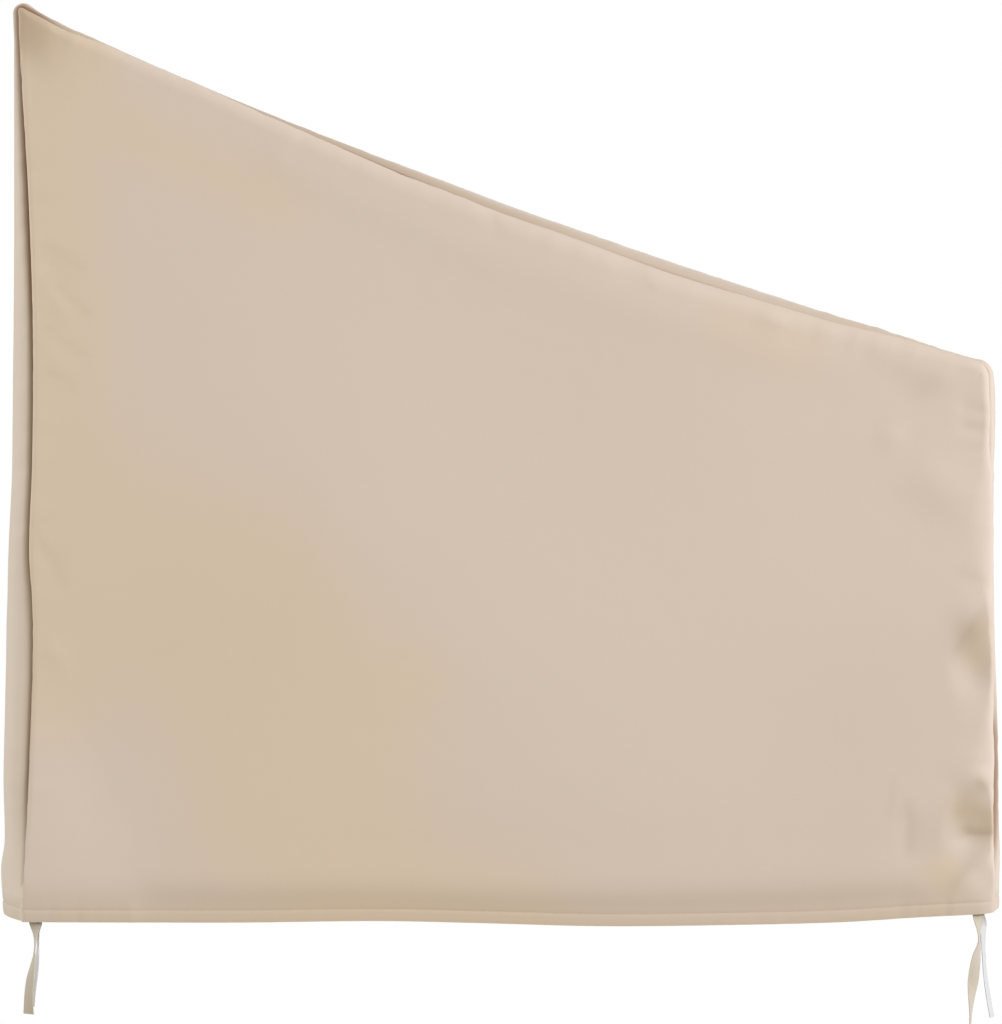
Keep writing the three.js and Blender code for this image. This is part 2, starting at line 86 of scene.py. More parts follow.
# Place of the side panel's edge out from the seam, by the distance along the seam, and the width
# and depth of its roll
EDGE_PLACE = (
    (0, -0.8), (60, -0.8), (120, -0.6), (220, 0.8), (570, 0.9), (700, 1.8), (800, 2.2),
    (880, 2.2), (915, 1.0), (950, -0.9), (975, -0.2), (1000, 1.2), (1050, 1.8), (1103, 1.8),
    (1157, 0.2), (1211, -0.1), (1265, -0.9), (1319, -1.5), (1372, 0.8), (1426, 1.0), (1480, 1.6),
    (1534, 0.5), (1588, -0.9), (1642, -0.7), (1696, 0.8), (1750, 1.3), (1804, 0.0), (1870, 0.6),
    (1925, 0.8), (1950, -1.0), (1990, 0.2), (2020, -0.8), (2060, 2.2), (2150, 2.2), (2190, 0.4),
    (2250, 1.4), (2310, 1.0), (2335, 1.9), (2370, 0.6), (2410, 0.0), (2430, 0.2), (2455, 0.9),
    (2500, 0.9),
)
EDGE_ROLL = (
    (0, 5), (800, 5), (905, 8), (1050, 14), (1700, 20), (1900, 12), (1970, 8), (2030, 9),
    (2093, 27), (2150, 17), (2190, 6), (2260, 5), (2300, 14), (2343, 27), (2368, 7), (2430, 5),
    (2455, 22), (2485, 34), (2500, 34),
)
EDGE_DEPTH = (
    (0, 0.8), (60, 0.8), (130, 3.8), (800, 4.2), (905, 5), (1050, 6), (1700, 7), (1900, 6),
    (2030, 5.5), (2093, 7), (2150, 6.5), (2260, 5), (2343, 7), (2400, 5), (2480, 7), (2500, 7),
)
# Painted brown shade in the crevice of the seam on the centre panel: how strong it is, and how far
# out from the seam it reaches, by the distance along the seam
CREVICE_PAINTED_SHADE = (
    (0, 0.05), (60, 0.15), (110, 0.6), (140, 0.85), (250, 1.0), (850, 1.0), (925, 1.0),
    (960, 0.5), (1020, 0.3), (1100, 0.35), (1200, 0.5), (1420, 0.5), (1550, 0.32), (1800, 0.25),
    (1900, 0.1), (2000, 0.0), (2240, 0.1), (2290, 0.6), (2315, 0.9), (2420, 0.9), (2445, 0.55),
    (2465, 0.3), (2500, 0.15),
)
CREVICE_SHADE_REACH = (
    (0, 4), (200, 3.2), (450, 3.4), (600, 4.6), (720, 9), (860, 10), (915, 9), (960, 6),
    (1050, 12), (1900, 10), (2240, 7), (2310, 13), (2410, 13), (2450, 7), (2500, 6),
)
# Unevenness of the edge, width of the crevice's full painted shade, and how strong and how wide
# each
# painted shade is: at the tip, on the rolled edge and over the hem
EDGE_WANDER = 0.45
CREVICE_SHADE_WIDTH = 1.0
TIP_SHADE = 0.56
TIP_REACH = 50.0
EDGE_SHADE = 0.8
HEM_SHADE = 0.2
HEM_SHADE_REACH = 18.0

# The back seam draws in, by height; the slope sags and the hem rises, by distance from the back
BACK_INSET = (
    (0, 0), (100, 5), (240, 12), (310, 12.5), (372, 9), (460, 12), (590, 13), (720, 9.8),
    (830, 3.8), (914, -1.4),
)
SLOPE_SAG = (
    (20, -0.3), (40, 1.2), (60, 3.9), (100, 6.6), (150, 10.2), (400, 24), (500, 28.5),
    (600, 26.5), (700, 23), (815, 17), (880, 8), (960, 2), (990, 0),
)
HEM_RISE = (
    (0, 0), (120, -0.5), (240, -0.5), (380, 1), (480, -1), (600, -4), (720, -3), (840, 0),
    (920, 5), (960, 7), (990, 8.5), (1002, 11.5),
)
INSET_DEPTH = 300.0
SAG_DEPTH = 320.0
RISE_DEPTH = 180.0
FAR_SHARE = 0.6

# Camera, light and floor in the frame, in metres
SENSOR_WIDTH = 36.0
PICTURE_HEIGHT = 1.024
PICTURE_CENTRE = (0.475, -0.507)
NEAR_SIDE = -0.432
LIGHT_DISTANCE = 12.0
# Each light's direction, its size, its colour and the setting of its power
LIGHTS = (
    ("key", (0.631, -0.689, 0.359), 4.5, (0.97, 0.99, 1.12), "key_power"),
    ("rim_back", (-0.93, 0.10, 0.27), 6.0, (0.97, 1.0, 1.08), "back_power"),
    ("rim_front", (0.97, 0.10, -0.12), 4.0, (0.92, 0.99, 1.2), "front_power"),
)
WARM = (1.035, 0.985, 0.86, 1.0)
FLOOR_LEVEL = -1.022
FLOOR_SIZE = 60.0
WHITE = (1.0, 1.0, 1.0, 1.0)

Fold = namedtuple("Fold", "line left right height edge")
ROUND = 2
CREASED = 1.3


def fold(height, reach, *line, edge=ROUND):
    """A fold stands out by its height and reaches as far as given to both sides of its line, or
    to its left and its right. It is round over the line, or nearer to a crease at a lower edge."""
    left, right = reach if isinstance(reach, tuple) else (reach, reach)
    return Fold(line, left, right, height, edge)


RIGHT_FOLDS = (
    # The ridge across the panel, and the valley that runs down from the back seam to the hem
    fold(6.0, 150, (48, 482), (330, 402), (520, 242), (740, 44)),
    fold(-7.0, (170, 70), (27, 340), (64, 232), (115, 132), (190, 42), (230, 8)),
    # Along the slope: a low ridge close to it, and a broad one that falls away below it
    fold(1.0, 24, (240, 795), (500, 687), (760, 592), (900, 550)),
    fold(4.0, (50, 140), (420, 720), (640, 645), (900, 550)),
    # Above the hem: the line where the cloth turns in, and the swell over it
    fold(-2.0, 14, (120, 20), (450, 12), (740, 17), (930, 20)),
    fold(1.5, 28, (120, 44), (450, 38), (740, 44), (930, 48)),
    # Beside the tip
    fold(-4.0, 16, (27, 902), (20, 832)),
    fold(1.0, 18, (31, 908), (60, 886)),
    # Puckers that start at the back seam
    fold(-1.0, 12, (24, 672), (58, 622), edge=CREASED),
    fold(1.0, 9, (24, 650), (60, 600), edge=CREASED),
    fold(0.5, 10, (24, 592), (58, 540), edge=CREASED),
    fold(-1.0, 12, (24, 372), (62, 346), edge=CREASED),
    fold(1.0, 12, (26, 290), (66, 236), edge=CREASED),
    # Puckers that start at the slope's seam
    fold(-1.0, 10, (500, 744), (500, 706), edge=CREASED),
    fold(-1.0, 10, (625, 692), (634, 655), edge=CREASED),
    fold(1.5, 14, (745, 640), (800, 605), edge=CREASED),
    fold(1.5, 14, (860, 583), (970, 541)),
    # Low swells toward the front
    fold(3.0, (30, 130), (962, 430), (962, 140)),
    fold(1.5, 16, (868, 493), (915, 486), edge=CREASED),
    fold(3.0, 26, (895, 472), (945, 434), (996, 398)),
    fold(-1.0, 8, (950, 522), (996, 509)),
    fold(-1.0, 8, (950, 501), (996, 488)),
    # The crumples at the front seam, from the top down: ridge, valley, ridge, valley
    fold(2.0, (18, 20), (996, 324), (974, 305), (953, 284), edge=1.2),
    fold(-3.5, 26, (998, 258), (972, 250), (946, 244)),
    fold(2.5, 20, (998, 158), (975, 142), (956, 124), edge=CREASED),
    fold(-5.0, (20, 18), (940, 81), (975, 77), (1000, 72), edge=CREASED),
    fold(1.5, 16, (1000, 74), (970, 48), (945, 12)),
    fold(-3.0, 20, (990, 60), (990, 12)),
    # Upright creases beside the lowest crumple
    fold(2.0, (20, 18), (930, 58), (942, 99), (952, 141), edge=CREASED),
    fold(-1.0, 10, (909, 116), (907, 50)),
)
# Where the near side leans from pink to yellow, in rows like the folds with a share for a height
CASTS = (
    fold(1.0, 58, (38, 130), (42, 1050)),
    fold(1.0, 105, (110, 370), (200, 330)),
    fold(1.0, 105, (240, 270), (330, 200)),
    fold(0.8, 90, (270, 110), (340, 50)),
    fold(0.8, 40, (24, 905), (70, 880)),
    fold(0.6, 40, (60, 838), (180, 772), (350, 708)),
    fold(0.45, 42, (395, 290), (425, 190)),
    fold(0.5, 12, (40, 4), (975, 4)),
    fold(0.5, 40, (730, 620), (800, 590)),
    fold(0.6, (70, 24), (380, 8), (520, 8)),
    fold(0.7, 20, (965, 110), (985, 98)),
    fold(1.0, 20, (955, 74), (928, 12)),
    fold(0.5, 18, (985, 290), (975, 262)),
)
# Painted shade where a hollow of the near side lies in shade, in the same way
PAINTED_HOLLOW_SHADE = (
    fold(0.36, 17, (966, 114), (990, 98)),
    fold(0.12, 9, (960, 104), (966, 92)),
    fold(0.34, (7, 2.5), (956, 90), (975, 84), (1020, 81)),
    fold(0.32, 10, (981, 152), (986, 122)),
    fold(0.12, (20, 14), (964, 276), (990, 304)),
    fold(0.21, (20, 19), (974, 288), (988, 258)),
    fold(0.12, (4, 9), (948, 262), (990, 325)),
    fold(0.1, 5, (906, 128), (911, 96), (907, 58)),
    fold(0.06, 4, (894, 150), (890, 100)),
    fold(0.04, 70, (845, 190), (900, 70)),
    fold(0.06, 60, (90, 45), (960, 45)),
    fold(0.1, (16, 12), (895, 540), (950, 530)),
    fold(0.08, 4, (962, 516), (998, 510)),
    fold(0.08, 4, (962, 500), (998, 492)),
    fold(0.1, (7, 4), (950, 354), (998, 336)),
    fold(0.12, (4, 9), (990, 76), (968, 48), (948, 20)),
    fold(0.08, 4, (28, 684), (78, 652)),
    fold(0.1, 4, (28, 650), (84, 604)),
    fold(0.08, 4, (28, 600), (82, 560)),
    fold(0.08, 4, (28, 556), (70, 532)),
    fold(0.07, 5, (22, 400), (60, 330)),
    fold(0.1, 4, (496, 742), (504, 706)),
    fold(0.1, 4, (640, 690), (652, 652)),
)
LEFT_FOLDS = (
    fold(7, 240, (420, 430), (560, 400)),
    fold(-6, 32, (45, 300), (110, 150), (170, 0)),
    fold(-6, 34, (960, 330), (880, 160), (850, 0)),
    fold(-4, 45, (120, 800), (430, 660), (800, 510)),
    fold(-4, 50, (600, 150), (640, 0)),
)
FOLD_START = 40.0
CENTRE_FOLDS = (
    fold(5, 60, (60, -250), (420, -60), (760, 10)),
    fold(-6, 48, (0, 190), (330, 250), (700, 330)),
    fold(-5, 40, (0, -60), (260, -120)),
    fold(-4, 45, (930, -300), (1150, -120)),
    fold(-4, 50, (940, 310), (1250, 170)),
    fold(4, 46, (1500, -90), (1930, -330)),
    fold(4, 46, (1560, 120), (1930, 300)),
    fold(-5, 42, (2060, -150), (2500, -110)),
    fold(-5, 40, (2120, 160), (2500, 190)),
)

# Each tail of a tie below the hem: x, swing in from the side panel, drop and turn in degrees
Tie = namedtuple("Tie", "name side root_x first second")
TIES = (
    Tie("back_right", -1, 34, (
        (34, 0, 2, 14), (34.5, -1, 10, 52), (34.5, -2, 20, 74), (34, -4, 32, 76),
        (32.5, -6, 44, 62), (30.5, -7, 56, 46), (29, -7, 70, 40), (28.5, -6, 82, 34),
        (28.5, -5, 92, 24),
    ), (
        (35, 3, 2, 14), (35.8, 5, 10, 60), (36, 7, 20, 72), (35.5, 9, 32, 70),
        (33.8, 10, 44, 56), (31.8, 9, 58, 48), (30, 7, 72, 44), (28.6, 5, 86, 38),
    )),
    Tie("front_right", -1, 979.5, (
        (979.5, -0.5, 2, -8), (979.5, -2, 9, -42), (979.5, -3, 17, -68), (979.5, -4, 28, -70),
        (977, -5, 40, -44), (975, -6, 52, -26), (973, -8, 66, -22), (971.5, -9, 80, -46),
        (970.5, -9, 95, -68), (970, -8, 110, -76),
    ), (
        (980, 3, 2, 0), (983, 6, 9, -20), (985, 8, 17, -50), (985.5, 9, 30, -62),
        (986.3, 10, 44, -66), (987.2, 10, 58, -66), (989, 9, 74, -64), (991.5, 8, 90, -62),
        (994, 7, 105, -62),
    )),
    Tie("back_left", 1, 34, (
        (34, -1, 8, 20), (33, -4, 28, 48), (31, -6, 50, 35), (30, -7, 72, 20), (29, -7, 92, 15),
    ), (
        (36, 5, 10, 25), (39, 9, 32, 50), (41, 11, 58, 60), (43, 11, 86, 55),
    )),
    Tie("front_left", 1, 979.5, (
        (979, -1, 8, 20), (977, -4, 30, 45), (974, -6, 54, 60), (972, -7, 80, 40),
        (971, -7, 104, 25),
    ), (
        (981, 5, 10, 25), (984, 9, 34, 50), (985, 11, 62, 62), (987, 11, 98, 50),
    )),
)
TAPE_DEPTH = 6.5
TAPE_SEWN = 9.0
TAPE_TURN = 0.9
TAPE_TURN_STEPS = 6
TAPE_ACROSS = 6
TAIL_STEPS = 60

# How far in from a seam or a hem its puckers reach, and how high they are at the hem
PUCKER_REACH = 24.0
CENTRE_PUCKER_REACH = 22.0
HEM_WAVE_REACH = 26.0
HEM_WAVE_SHARE = 0.5
HEM_WAVE_RATE = 1.3
# How far the hem's padded band and the groove of its stitches stand out and in
HEM_BAND = 0.45
HEM_GROOVE = 0.55
ROLL_SPREAD = 3.0
# Shares of the allowance at which the side panel's edge turns in, and where that starts when flat
TUCK_SHARES = (-0.1, -0.09, 0.3, 1.0)
TUCK_START = 4.0
CENTRE_CAST = 0.2
MID_SIDE = 500.0
CREASE_ANGLE = math.radians(60)
RIGHT_SEED, LEFT_SEED, CENTRE_SEED = 2, 11, 5
FADE_REACHES = 2.2

# Rows of the mesh near the hem, the height that stands for all above them, and the other steps
OVER_HEM = 99.0
HEM_TOLERANCE = 0.1
HEM_ROWS = (0.0, 0.7, 2.0, 4.5, 7.5, 10.0, 11.2, 12.0, 12.8, 14.0, 17.0)
UPRIGHT_STEPS = 118
SLOPE_STEPS = 172
TURN_STEPS = 8
CROWDING = 0.45
ROLL_STEPS = 9
SEAM_STEPS = 4
SWELL_STEPS = 10
MIDDLE_STEPS = 28


def length_setting(name, description, default, low, high, precision=2):
    return bpy.props.FloatProperty(
        name=name, description=description, default=default, min=low, max=high,
        precision=precision, unit="LENGTH",
    )


def strength_setting(name, description, default, high):
    return bpy.props.FloatProperty(
        name=name, description=description, default=default, min=0.0, max=high,
    )


def colour_setting(name, description, default):
    return bpy.props.FloatVectorProperty(
        name=name, description=description, subtype="COLOR", size=3, default=default,
        min=0.0, max=1.0,
    )


class CoverCut(bpy.types.PropertyGroup):
    seam_to_seam: length_setting(
        "Seam to seam", "Width of the cover between its two side seams", 0.848, 0.5, 1.4
    )
    cloth: length_setting("Cloth", "Thickness of the coated cloth", 0.0008, 0.0003, 0.003, 4)
    hem_height: length_setting(
        "Hem", "Height of the hem's stitch line over its bottom edge", 0.012, 0.005, 0.05
    )
    allowance: length_setting(
        "Allowance", "Seam allowance left inside each seam", 0.01, 0.004, 0.03
    )
    pucker: length_setting(
        "Pucker", "How far the cloth puckers beside its seams", 0.0007, 0.0, 0.004, 4
    )


class CoverTie(bpy.types.PropertyGroup):
    width: length_setting("Width", "Width of the tape", 0.012, 0.005, 0.04)
    thickness: length_setting("Thickness", "Thickness of the tape", 0.0007, 0.0003, 0.003, 4)


class CoverStitch(bpy.types.PropertyGroup):
    pitch: length_setting("Pitch", "Length from one stitch to the next", 0.004, 0.0015, 0.01, 4)
    thread: length_setting("Thread", "Thickness of the sewing thread", 0.0005, 0.0002, 0.002, 4)


class CoverColours(bpy.types.PropertyGroup):
    pink: colour_setting("Pink cast", "Cloth where it leans to pink", (0.626, 0.523, 0.424))
    yellow: colour_setting("Yellow cast", "Cloth where it leans to yellow", (0.641, 0.520, 0.386))
    # Painted shade: the cloth is multiplied by this colour where its painted shade is full, deep
    # in a seam
    painted_shade_colour: colour_setting(
        "Crevice", "What the cloth is multiplied by deep in a seam", (0.40, 0.26, 0.16)
    )
    coating: colour_setting("Coating", "Coated inside of the cloth", (0.660, 0.585, 0.490))
    tape: colour_setting("Tape", "Woven tape of the ties", (0.520, 0.458, 0.355))
    # Painted highlight: each tie's second tail is coloured paler on both faces, standing in for
    # the light on it
    painted_highlight_tape: colour_setting(
        "Pale tape", "Smooth back of the tape, which its second tail shows",
        (0.580, 0.572, 0.560),
    )
    thread: colour_setting("Thread", "Sewing thread", (0.600, 0.490, 0.370))


class CoverStage(bpy.types.PropertyGroup):
    camera_distance: length_setting(
        "Camera distance", "Distance from the camera to the near side", 3.2, 1.0, 20.0
    )
    key_power: strength_setting(
        "Key light", "Power of the soft light at the upper right", 1030.0, 1e4
    )
    back_power: strength_setting(
        "Back light", "Power of the soft light behind the cover's back edge", 885.0, 1e4
    )
    front_power: strength_setting(
        "Front light", "Power of the soft light past the cover's front edge", 440.0, 1e4
    )
    ambient: strength_setting(
        "Ambient", "Strength of the white surroundings on the cover", 0.52, 3.0
    )


# Numbers and look-ups


def ease(share):
    t = np.clip(share, 0.0, 1.0)
    return t * t * (3.0 - 2.0 * t)


def shares(steps):
    return [(step + 1) / steps for step in range(steps)]


def crowded(share):
    """The same share from 0 to 1, with the steps closer together near both ends."""
    return share - CROWDING * math.sin(2 * math.pi * share) / (2 * math.pi)


def fall_off(distance, reach):
    """A share of 1 at no distance, which dies away round the reach."""
    return np.exp(-((distance / reach) ** 2))


def summed(steps):
    """How far one has come at the start and after each step."""
    return np.concatenate(([0.0], np.cumsum(steps)))


def joined(*columns):
    """Points from their columns, each of them an array or one number for all."""
    return np.stack(np.broadcast_arrays(*columns), axis=-1)


def between(table, at):
    """A smooth value between a table's rows, each with its slope from its neighbours."""
    places, values = np.array(table, float).T
    low = np.concatenate(([0], np.arange(len(places) - 1)))
    high = np.concatenate((np.arange(1, len(places)), [len(places) - 1]))
    slopes = (values[high] - values[low]) / (places[high] - places[low])
    at = np.clip(at, places[0], places[-1])
    row = np.clip(np.searchsorted(places, at, side="right") - 1, 0, len(places) - 2)
    span = places[row + 1] - places[row]
    t = (at - places[row]) / span
    return (
        values[row] * (2 * t**3 - 3 * t**2 + 1)
        + slopes[row] * span * (t**3 - 2 * t**2 + t)
        + values[row + 1] * (3 * t**2 - 2 * t**3)
        + slopes[row + 1] * span * (t**3 - t**2)
    )


def fold_height(folds, a, b):
    """Height of the folds at the places (a, b) of the laid-out cloth. A long fold dies away to
    its ends, and a short one is a round bump."""
    height = np.zeros(np.broadcast(a, b).shape)
    for fold in folds:
        nearest = np.full(height.shape, np.inf)
        leftward, place = np.zeros(height.shape), np.zeros(height.shape)
        total = 0.0
        for (from_a, from_b), (to_a, to_b) in zip(fold.line, fold.line[1:]):
            run_a, run_b = to_a - from_a, to_b - from_b
            length = math.hypot(run_a, run_b)
            along = ((a - from_a) * run_a + (b - from_b) * run_b) / length**2
            along = np.clip(along, 0.0, 1.0)
            off_a, off_b = a - from_a - along * run_a, b - from_b - along * run_b
            distance = np.hypot(off_a, off_b)
            nearer = distance < nearest
            nearest = np.where(nearer, distance, nearest)
            cross = (run_a * off_b - run_b * off_a) / (length * distance + 1e-9)
            leftward = np.where(nearer, cross, leftward)
            place = np.where(nearer, total + along * length, place)
            total += length
        reach = (fold.left + fold.right + (fold.left - fold.right) * leftward) / 2
        shape = np.exp(-((nearest / reach) ** fold.edge))
        widest = max(fold.left, fold.right)
        if total > 2 * widest:
            fade = min(total / 2, FADE_REACHES * widest)
            shape = shape * ease(np.minimum(place, total - place) / fade)
        height = height + fold.height * shape
    return height


def ripple(along, seed):
    """Uneven puckers along a seam, about 1 high, from waves whose lengths don't match."""
    lengths = (13.0, 19.0, 29.0, 47.0)
    heights = (0.22, 0.34, 0.5, 0.42)
    wave = np.zeros(np.shape(along))
    for index, (length, height) in enumerate(zip(lengths, heights)):
        phase = seed * (index + 1.7) * 2.399
        drift = 1.3 * np.sin(along / (length * 6.1) + phase)
        wave = wave + height * np.sin(2 * math.pi * along / length + phase + drift)
    patchy = 0.45 + 0.55 * np.sin(along / 71.0 + seed) * np.sin(along / 113.0 + 2.1 * seed)
    return wave * patchy


# Side outline, at any distance out from the seam, or in from it where that is negative

RUN_VECTORS = np.diff(CORNERS, axis=0)
RUN_ALONG = RUN_VECTORS / np.linalg.norm(RUN_VECTORS, axis=1)[:, None]
RUN_OUT = joined(-RUN_ALONG[:, 1], RUN_ALONG[:, 0])
HEM_TOP = HEM_ROWS[-1]


def turn_point(index, share, offset):
    offset = np.asarray(offset, float)
    before, after = RUN_OUT[index], RUN_OUT[index + 1]
    radius = np.maximum(TURN_RADII[index] + offset, SMALLEST_TURN)
    bisector = (before + after) / np.linalg.norm(before + after)
    inset = (radius - offset) / bisector.dot(before)
    centre = CORNERS[index + 1] - bisector * inset[..., None]
    angle = math.atan2(before[1], before[0]) - math.acos(before.dot(after)) * share
    return centre + radius[..., None] * np.array((math.cos(angle), math.sin(angle)))


def run_point(station, offset):
    offset = np.asarray(offset, float)
    run = station["run"]
    out = RUN_OUT[run]
    start = CORNERS[0] + out * offset[..., None] if run == 0 else turn_point(run - 1, 1, offset)
    end = CORNERS[3] + out * offset[..., None] if run == 2 else turn_point(run, 0, offset)
    length = np.linalg.norm(end - start, axis=-1)
    if run == 1:
        travelled = length * station["share"]
    elif "height" in station:
        travelled = station["height"] if run == 0 else length - station["height"]
    else:
        free = length - HEM_TOP
        travelled = free * station["share"] + (HEM_TOP if run == 0 else 0)
    return start + RUN_ALONG[run] * np.asarray(travelled)[..., None]


def seam_point(station, offset):
    if "turn" in station:
        return turn_point(station["turn"], station["share"], offset)
    return run_point(station, offset)


def seam_places(offsets):
    return np.array([seam_point(*pair) for pair in zip(STATIONS, offsets)])


def make_stations():
    stations = [
        *({"run": 0, "height": height} for height in HEM_ROWS),
        *({"run": 0, "share": share} for share in shares(UPRIGHT_STEPS)),
        *({"turn": 0, "share": share} for share in shares(TURN_STEPS)),
        *({"run": 1, "share": crowded(share)} for share in shares(SLOPE_STEPS)),
        *({"turn": 1, "share": share} for share in shares(TURN_STEPS)),
        *({"run": 2, "share": share} for share in shares(UPRIGHT_STEPS)[:-1]),
        *({"run": 2, "height": height} for height in reversed(HEM_ROWS)),
    ]
    places = np.array([seam_point(station, 0.0) for station in stations])
    steps = np.linalg.norm(np.diff(places, axis=0), axis=1)
    for station, along in zip(stations, summed(steps)):
        station["along"] = float(along)
    return stations


STATIONS = make_stations()
ALONG = np.array([station["along"] for station in STATIONS])
RIDGE_STATION = len(HEM_ROWS) + UPRIGHT_STEPS + TURN_STEPS // 2 - 1
FRONT_STATION = RIDGE_STATION + SLOPE_STEPS + TURN_STEPS


def hang(points, half_width):
    """The laid-out cloth hung up: seams drawn in, slope sagging and hem uneven."""
    x, y, z = points.T
    share = 1 + (FAR_SHARE - 1) * ease((y / half_width + 1) / 2)
    slope_x = np.clip(x, CORNERS[1][0], CORNERS[2][0])
    fall = RUN_ALONG[1][1] / RUN_ALONG[1][0]
    below = CORNERS[1][1] + (slope_x - CORNERS[1][0]) * fall - z
    inset = between(BACK_INSET, z) * ease(1 - (x - CORNERS[0][0]) / INSET_DEPTH)
    sag = between(SLOPE_SAG, slope_x) * ease(1 - below / SAG_DEPTH)
    rise = between(HEM_RISE, x) * ease(1 - z / RISE_DEPTH)
    return joined(x + share * inset, y, z + share * (rise - sag))


Cloth = namedtuple("Cloth", "points flat folded marked shade cast quads")


class Sheet:
    """A cloth's middle surface as it grows. Each point has its place in the flat pattern, how much
    hem is folded under it, whether a line follows it, how much shade is painted on it, and its
    cast.
    Quads turn anticlockwise from outside."""

    def __init__(self):
        self.parts = {name: [] for name in Cloth._fields}
        self.count = 0

    def add(self, points, flat, **values):
        points = np.asarray(points, float)
        shape = points.shape[:-1]
        self.parts["points"].append(points.reshape(-1, 3))
        self.parts["flat"].append(np.broadcast_to(flat, (*shape, 2)).reshape(-1, 2))
        for name in ("folded", "marked", "shade", "cast"):
            given = np.broadcast_to(values.get(name, 0.0), shape)
            self.parts[name].append(given.reshape(-1).astype(float))
        first = self.count
        self.count += int(np.prod(shape))
        return np.arange(first, self.count).reshape(shape)

    def fill(self, grid):
        grid = np.asarray(grid)
        quads = joined(grid[:-1, :-1], grid[:-1, 1:], grid[1:, 1:], grid[1:, :-1])
        self.parts["quads"].append(quads.reshape(-1, 4))

    def cloth(self):
        return Cloth(**{name: np.concatenate(part) for name, part in self.parts.items()})


def mirrored(cloth):
    """The same cloth on the cover's other side."""
    return cloth._replace(points=cloth.points * (1, -1, 1), quads=cloth.quads[:, ::-1])


def normals_of(points, quads):
    a, b, c, d = (points[quads[:, corner]] for corner in range(4))
    face = np.cross(c - a, d - b)
    face /= np.linalg.norm(face, axis=1)[:, None] + 1e-12
    normals = np.zeros_like(points)
    for corner in range(4):
        np.add.at(normals, quads[:, corner], face)
    return normals / (np.linalg.norm(normals, axis=1)[:, None] + 1e-12)


def border_of(quads):
    """The open edges of a sheet, each as the quad beside it turns."""
    edges = np.concatenate([quads[:, (corner, (corner + 1) % 4)] for corner in range(4)])
    keys = edges.min(axis=1) * (edges.max() + 1) + edges.max(axis=1)
    _, first, count = np.unique(keys, return_index=True, return_counts=True)
    return edges[first[count == 1]]


def sewn_piece(name, cloth, thickness, slots):
    """A closed piece of cloth in the frame, with its flat pattern as its UV map."""
    normals = normals_of(cloth.points, cloth.quads)
    outer = cloth.points + normals * (thickness / 2)
    inner = cloth.points - normals * (thickness / 2 + cloth.folded)[:, None]
    count = len(cloth.points)
    start, end = border_of(cloth.quads).T
    walls = joined(end, start, start + count, end + count)
    faces = np.concatenate((cloth.quads, cloth.quads[:, ::-1] + count, walls))
    mesh = bpy.data.meshes.new(name)
    vertices = (np.concatenate((outer, inner)) - HOLD) / 1000
    mesh.from_pydata(vertices.tolist(), [], faces.tolist())
    corners = np.empty(len(mesh.loops), int)
    mesh.loops.foreach_get("vertex_index", corners)
    places = np.concatenate((cloth.flat, cloth.flat)) / 1000
    mesh.uv_layers.new(name="flat").data.foreach_set("uv", places[corners].reshape(-1))
    inside = 1.0 if slots[0].name == "woven_tape" else 0.0
    for layer in ("marked", "shade", "cast"):
        values = getattr(cloth, layer)
        both = np.concatenate((values, values * inside))
        mesh.attributes.new(layer, "FLOAT", "POINT").data.foreach_set("value", both)
    mesh.shade_smooth()
    mesh.set_sharp_from_angle(angle=CREASE_ANGLE)
    for slot in slots:
        mesh.materials.append(slot)
    faced = np.zeros(len(faces), int)
    faced[len(cloth.quads): 2 * len(cloth.quads)] = len(slots) - 1
    mesh.polygons.foreach_set("material_index", faced)
    mesh.update()
    return new_object(name, mesh)


def new_object(name, data):
    made = bpy.data.objects.new(name, data)
    bpy.context.scene.collection.objects.link(made)
    return made


def hem_fold(height, cut):
    """How much hem is folded under the cloth at a height."""
    return cut["hem_fold"] * (height <= cut["hem"] + HEM_TOLERANCE)


def hem_relief(height, hem):
    """How the hem stands out: a padded band under a groove where it is stitched."""
    band = HEM_BAND * ease(height / 3.0) * ease((hem - height) / 2.5)
    groove = -HEM_GROOVE * fall_off(height - hem, 1.0)
    return band + groove


# Side panel: seam allowance, rolled edge and face

SIDE_HEIGHTS = np.array([station.get("height", OVER_HEM) for station in STATIONS])


def place_by_seam(x, z):
    """Distance of a place on a side panel from the nearest seam, and its place along the seam."""
    nearest = np.full(np.shape(x), np.inf)
    along = np.zeros(np.shape(x))
    travelled = 0.0
    for corner, direction, out, run in zip(CORNERS, RUN_ALONG, RUN_OUT, RUN_VECTORS):
        offset = np.abs((x - corner[0]) * out[0] + (z - corner[1]) * out[1])
        place = (x - corner[0]) * direction[0] + (z - corner[1]) * direction[1]
        nearer = offset < nearest
        nearest = np.where(nearer, offset, nearest)
        along = np.where(nearer, travelled + place, along)
        travelled += float(np.linalg.norm(run))
    return nearest, along


def side_relief(x, z, heights, cut, folds, seed):
    """How far a side panel stands out at a place, past its plain flat face."""
    inward, along = place_by_seam(x, z)
    puckers = cut["pucker"] * ripple(along, seed) * fall_off(inward, PUCKER_REACH)
    hem_waves = HEM_WAVE_SHARE * cut["pucker"] * ripple(x * HEM_WAVE_RATE, seed + 4)
    hem_waves = hem_waves * fall_off(heights, HEM_WAVE_REACH)
    return fold_height(folds, x, z) + puckers + hem_waves + hem_relief(heights, cut["hem"])


def face_shade(x, z):
    """How much shade is painted on a side panel: near its peak, over its hem and where a hollow
    lies in shade.
    """
    off = np.hypot(x - CORNERS[1][0], z - CORNERS[1][1])
    hem = HEM_SHADE * fall_off(np.maximum(z - HEM_TOP, 0.0), HEM_SHADE_REACH)
    hollow_shade = fold_height(PAINTED_HOLLOW_SHADE, x, z)
    return np.clip(TIP_SHADE * fall_off(off, TIP_REACH) + hem + hollow_shade, 0.0, 1.0)


def cast_at(x, z):
    return np.clip(fold_height(CASTS, x, z), 0.0, 1.0)


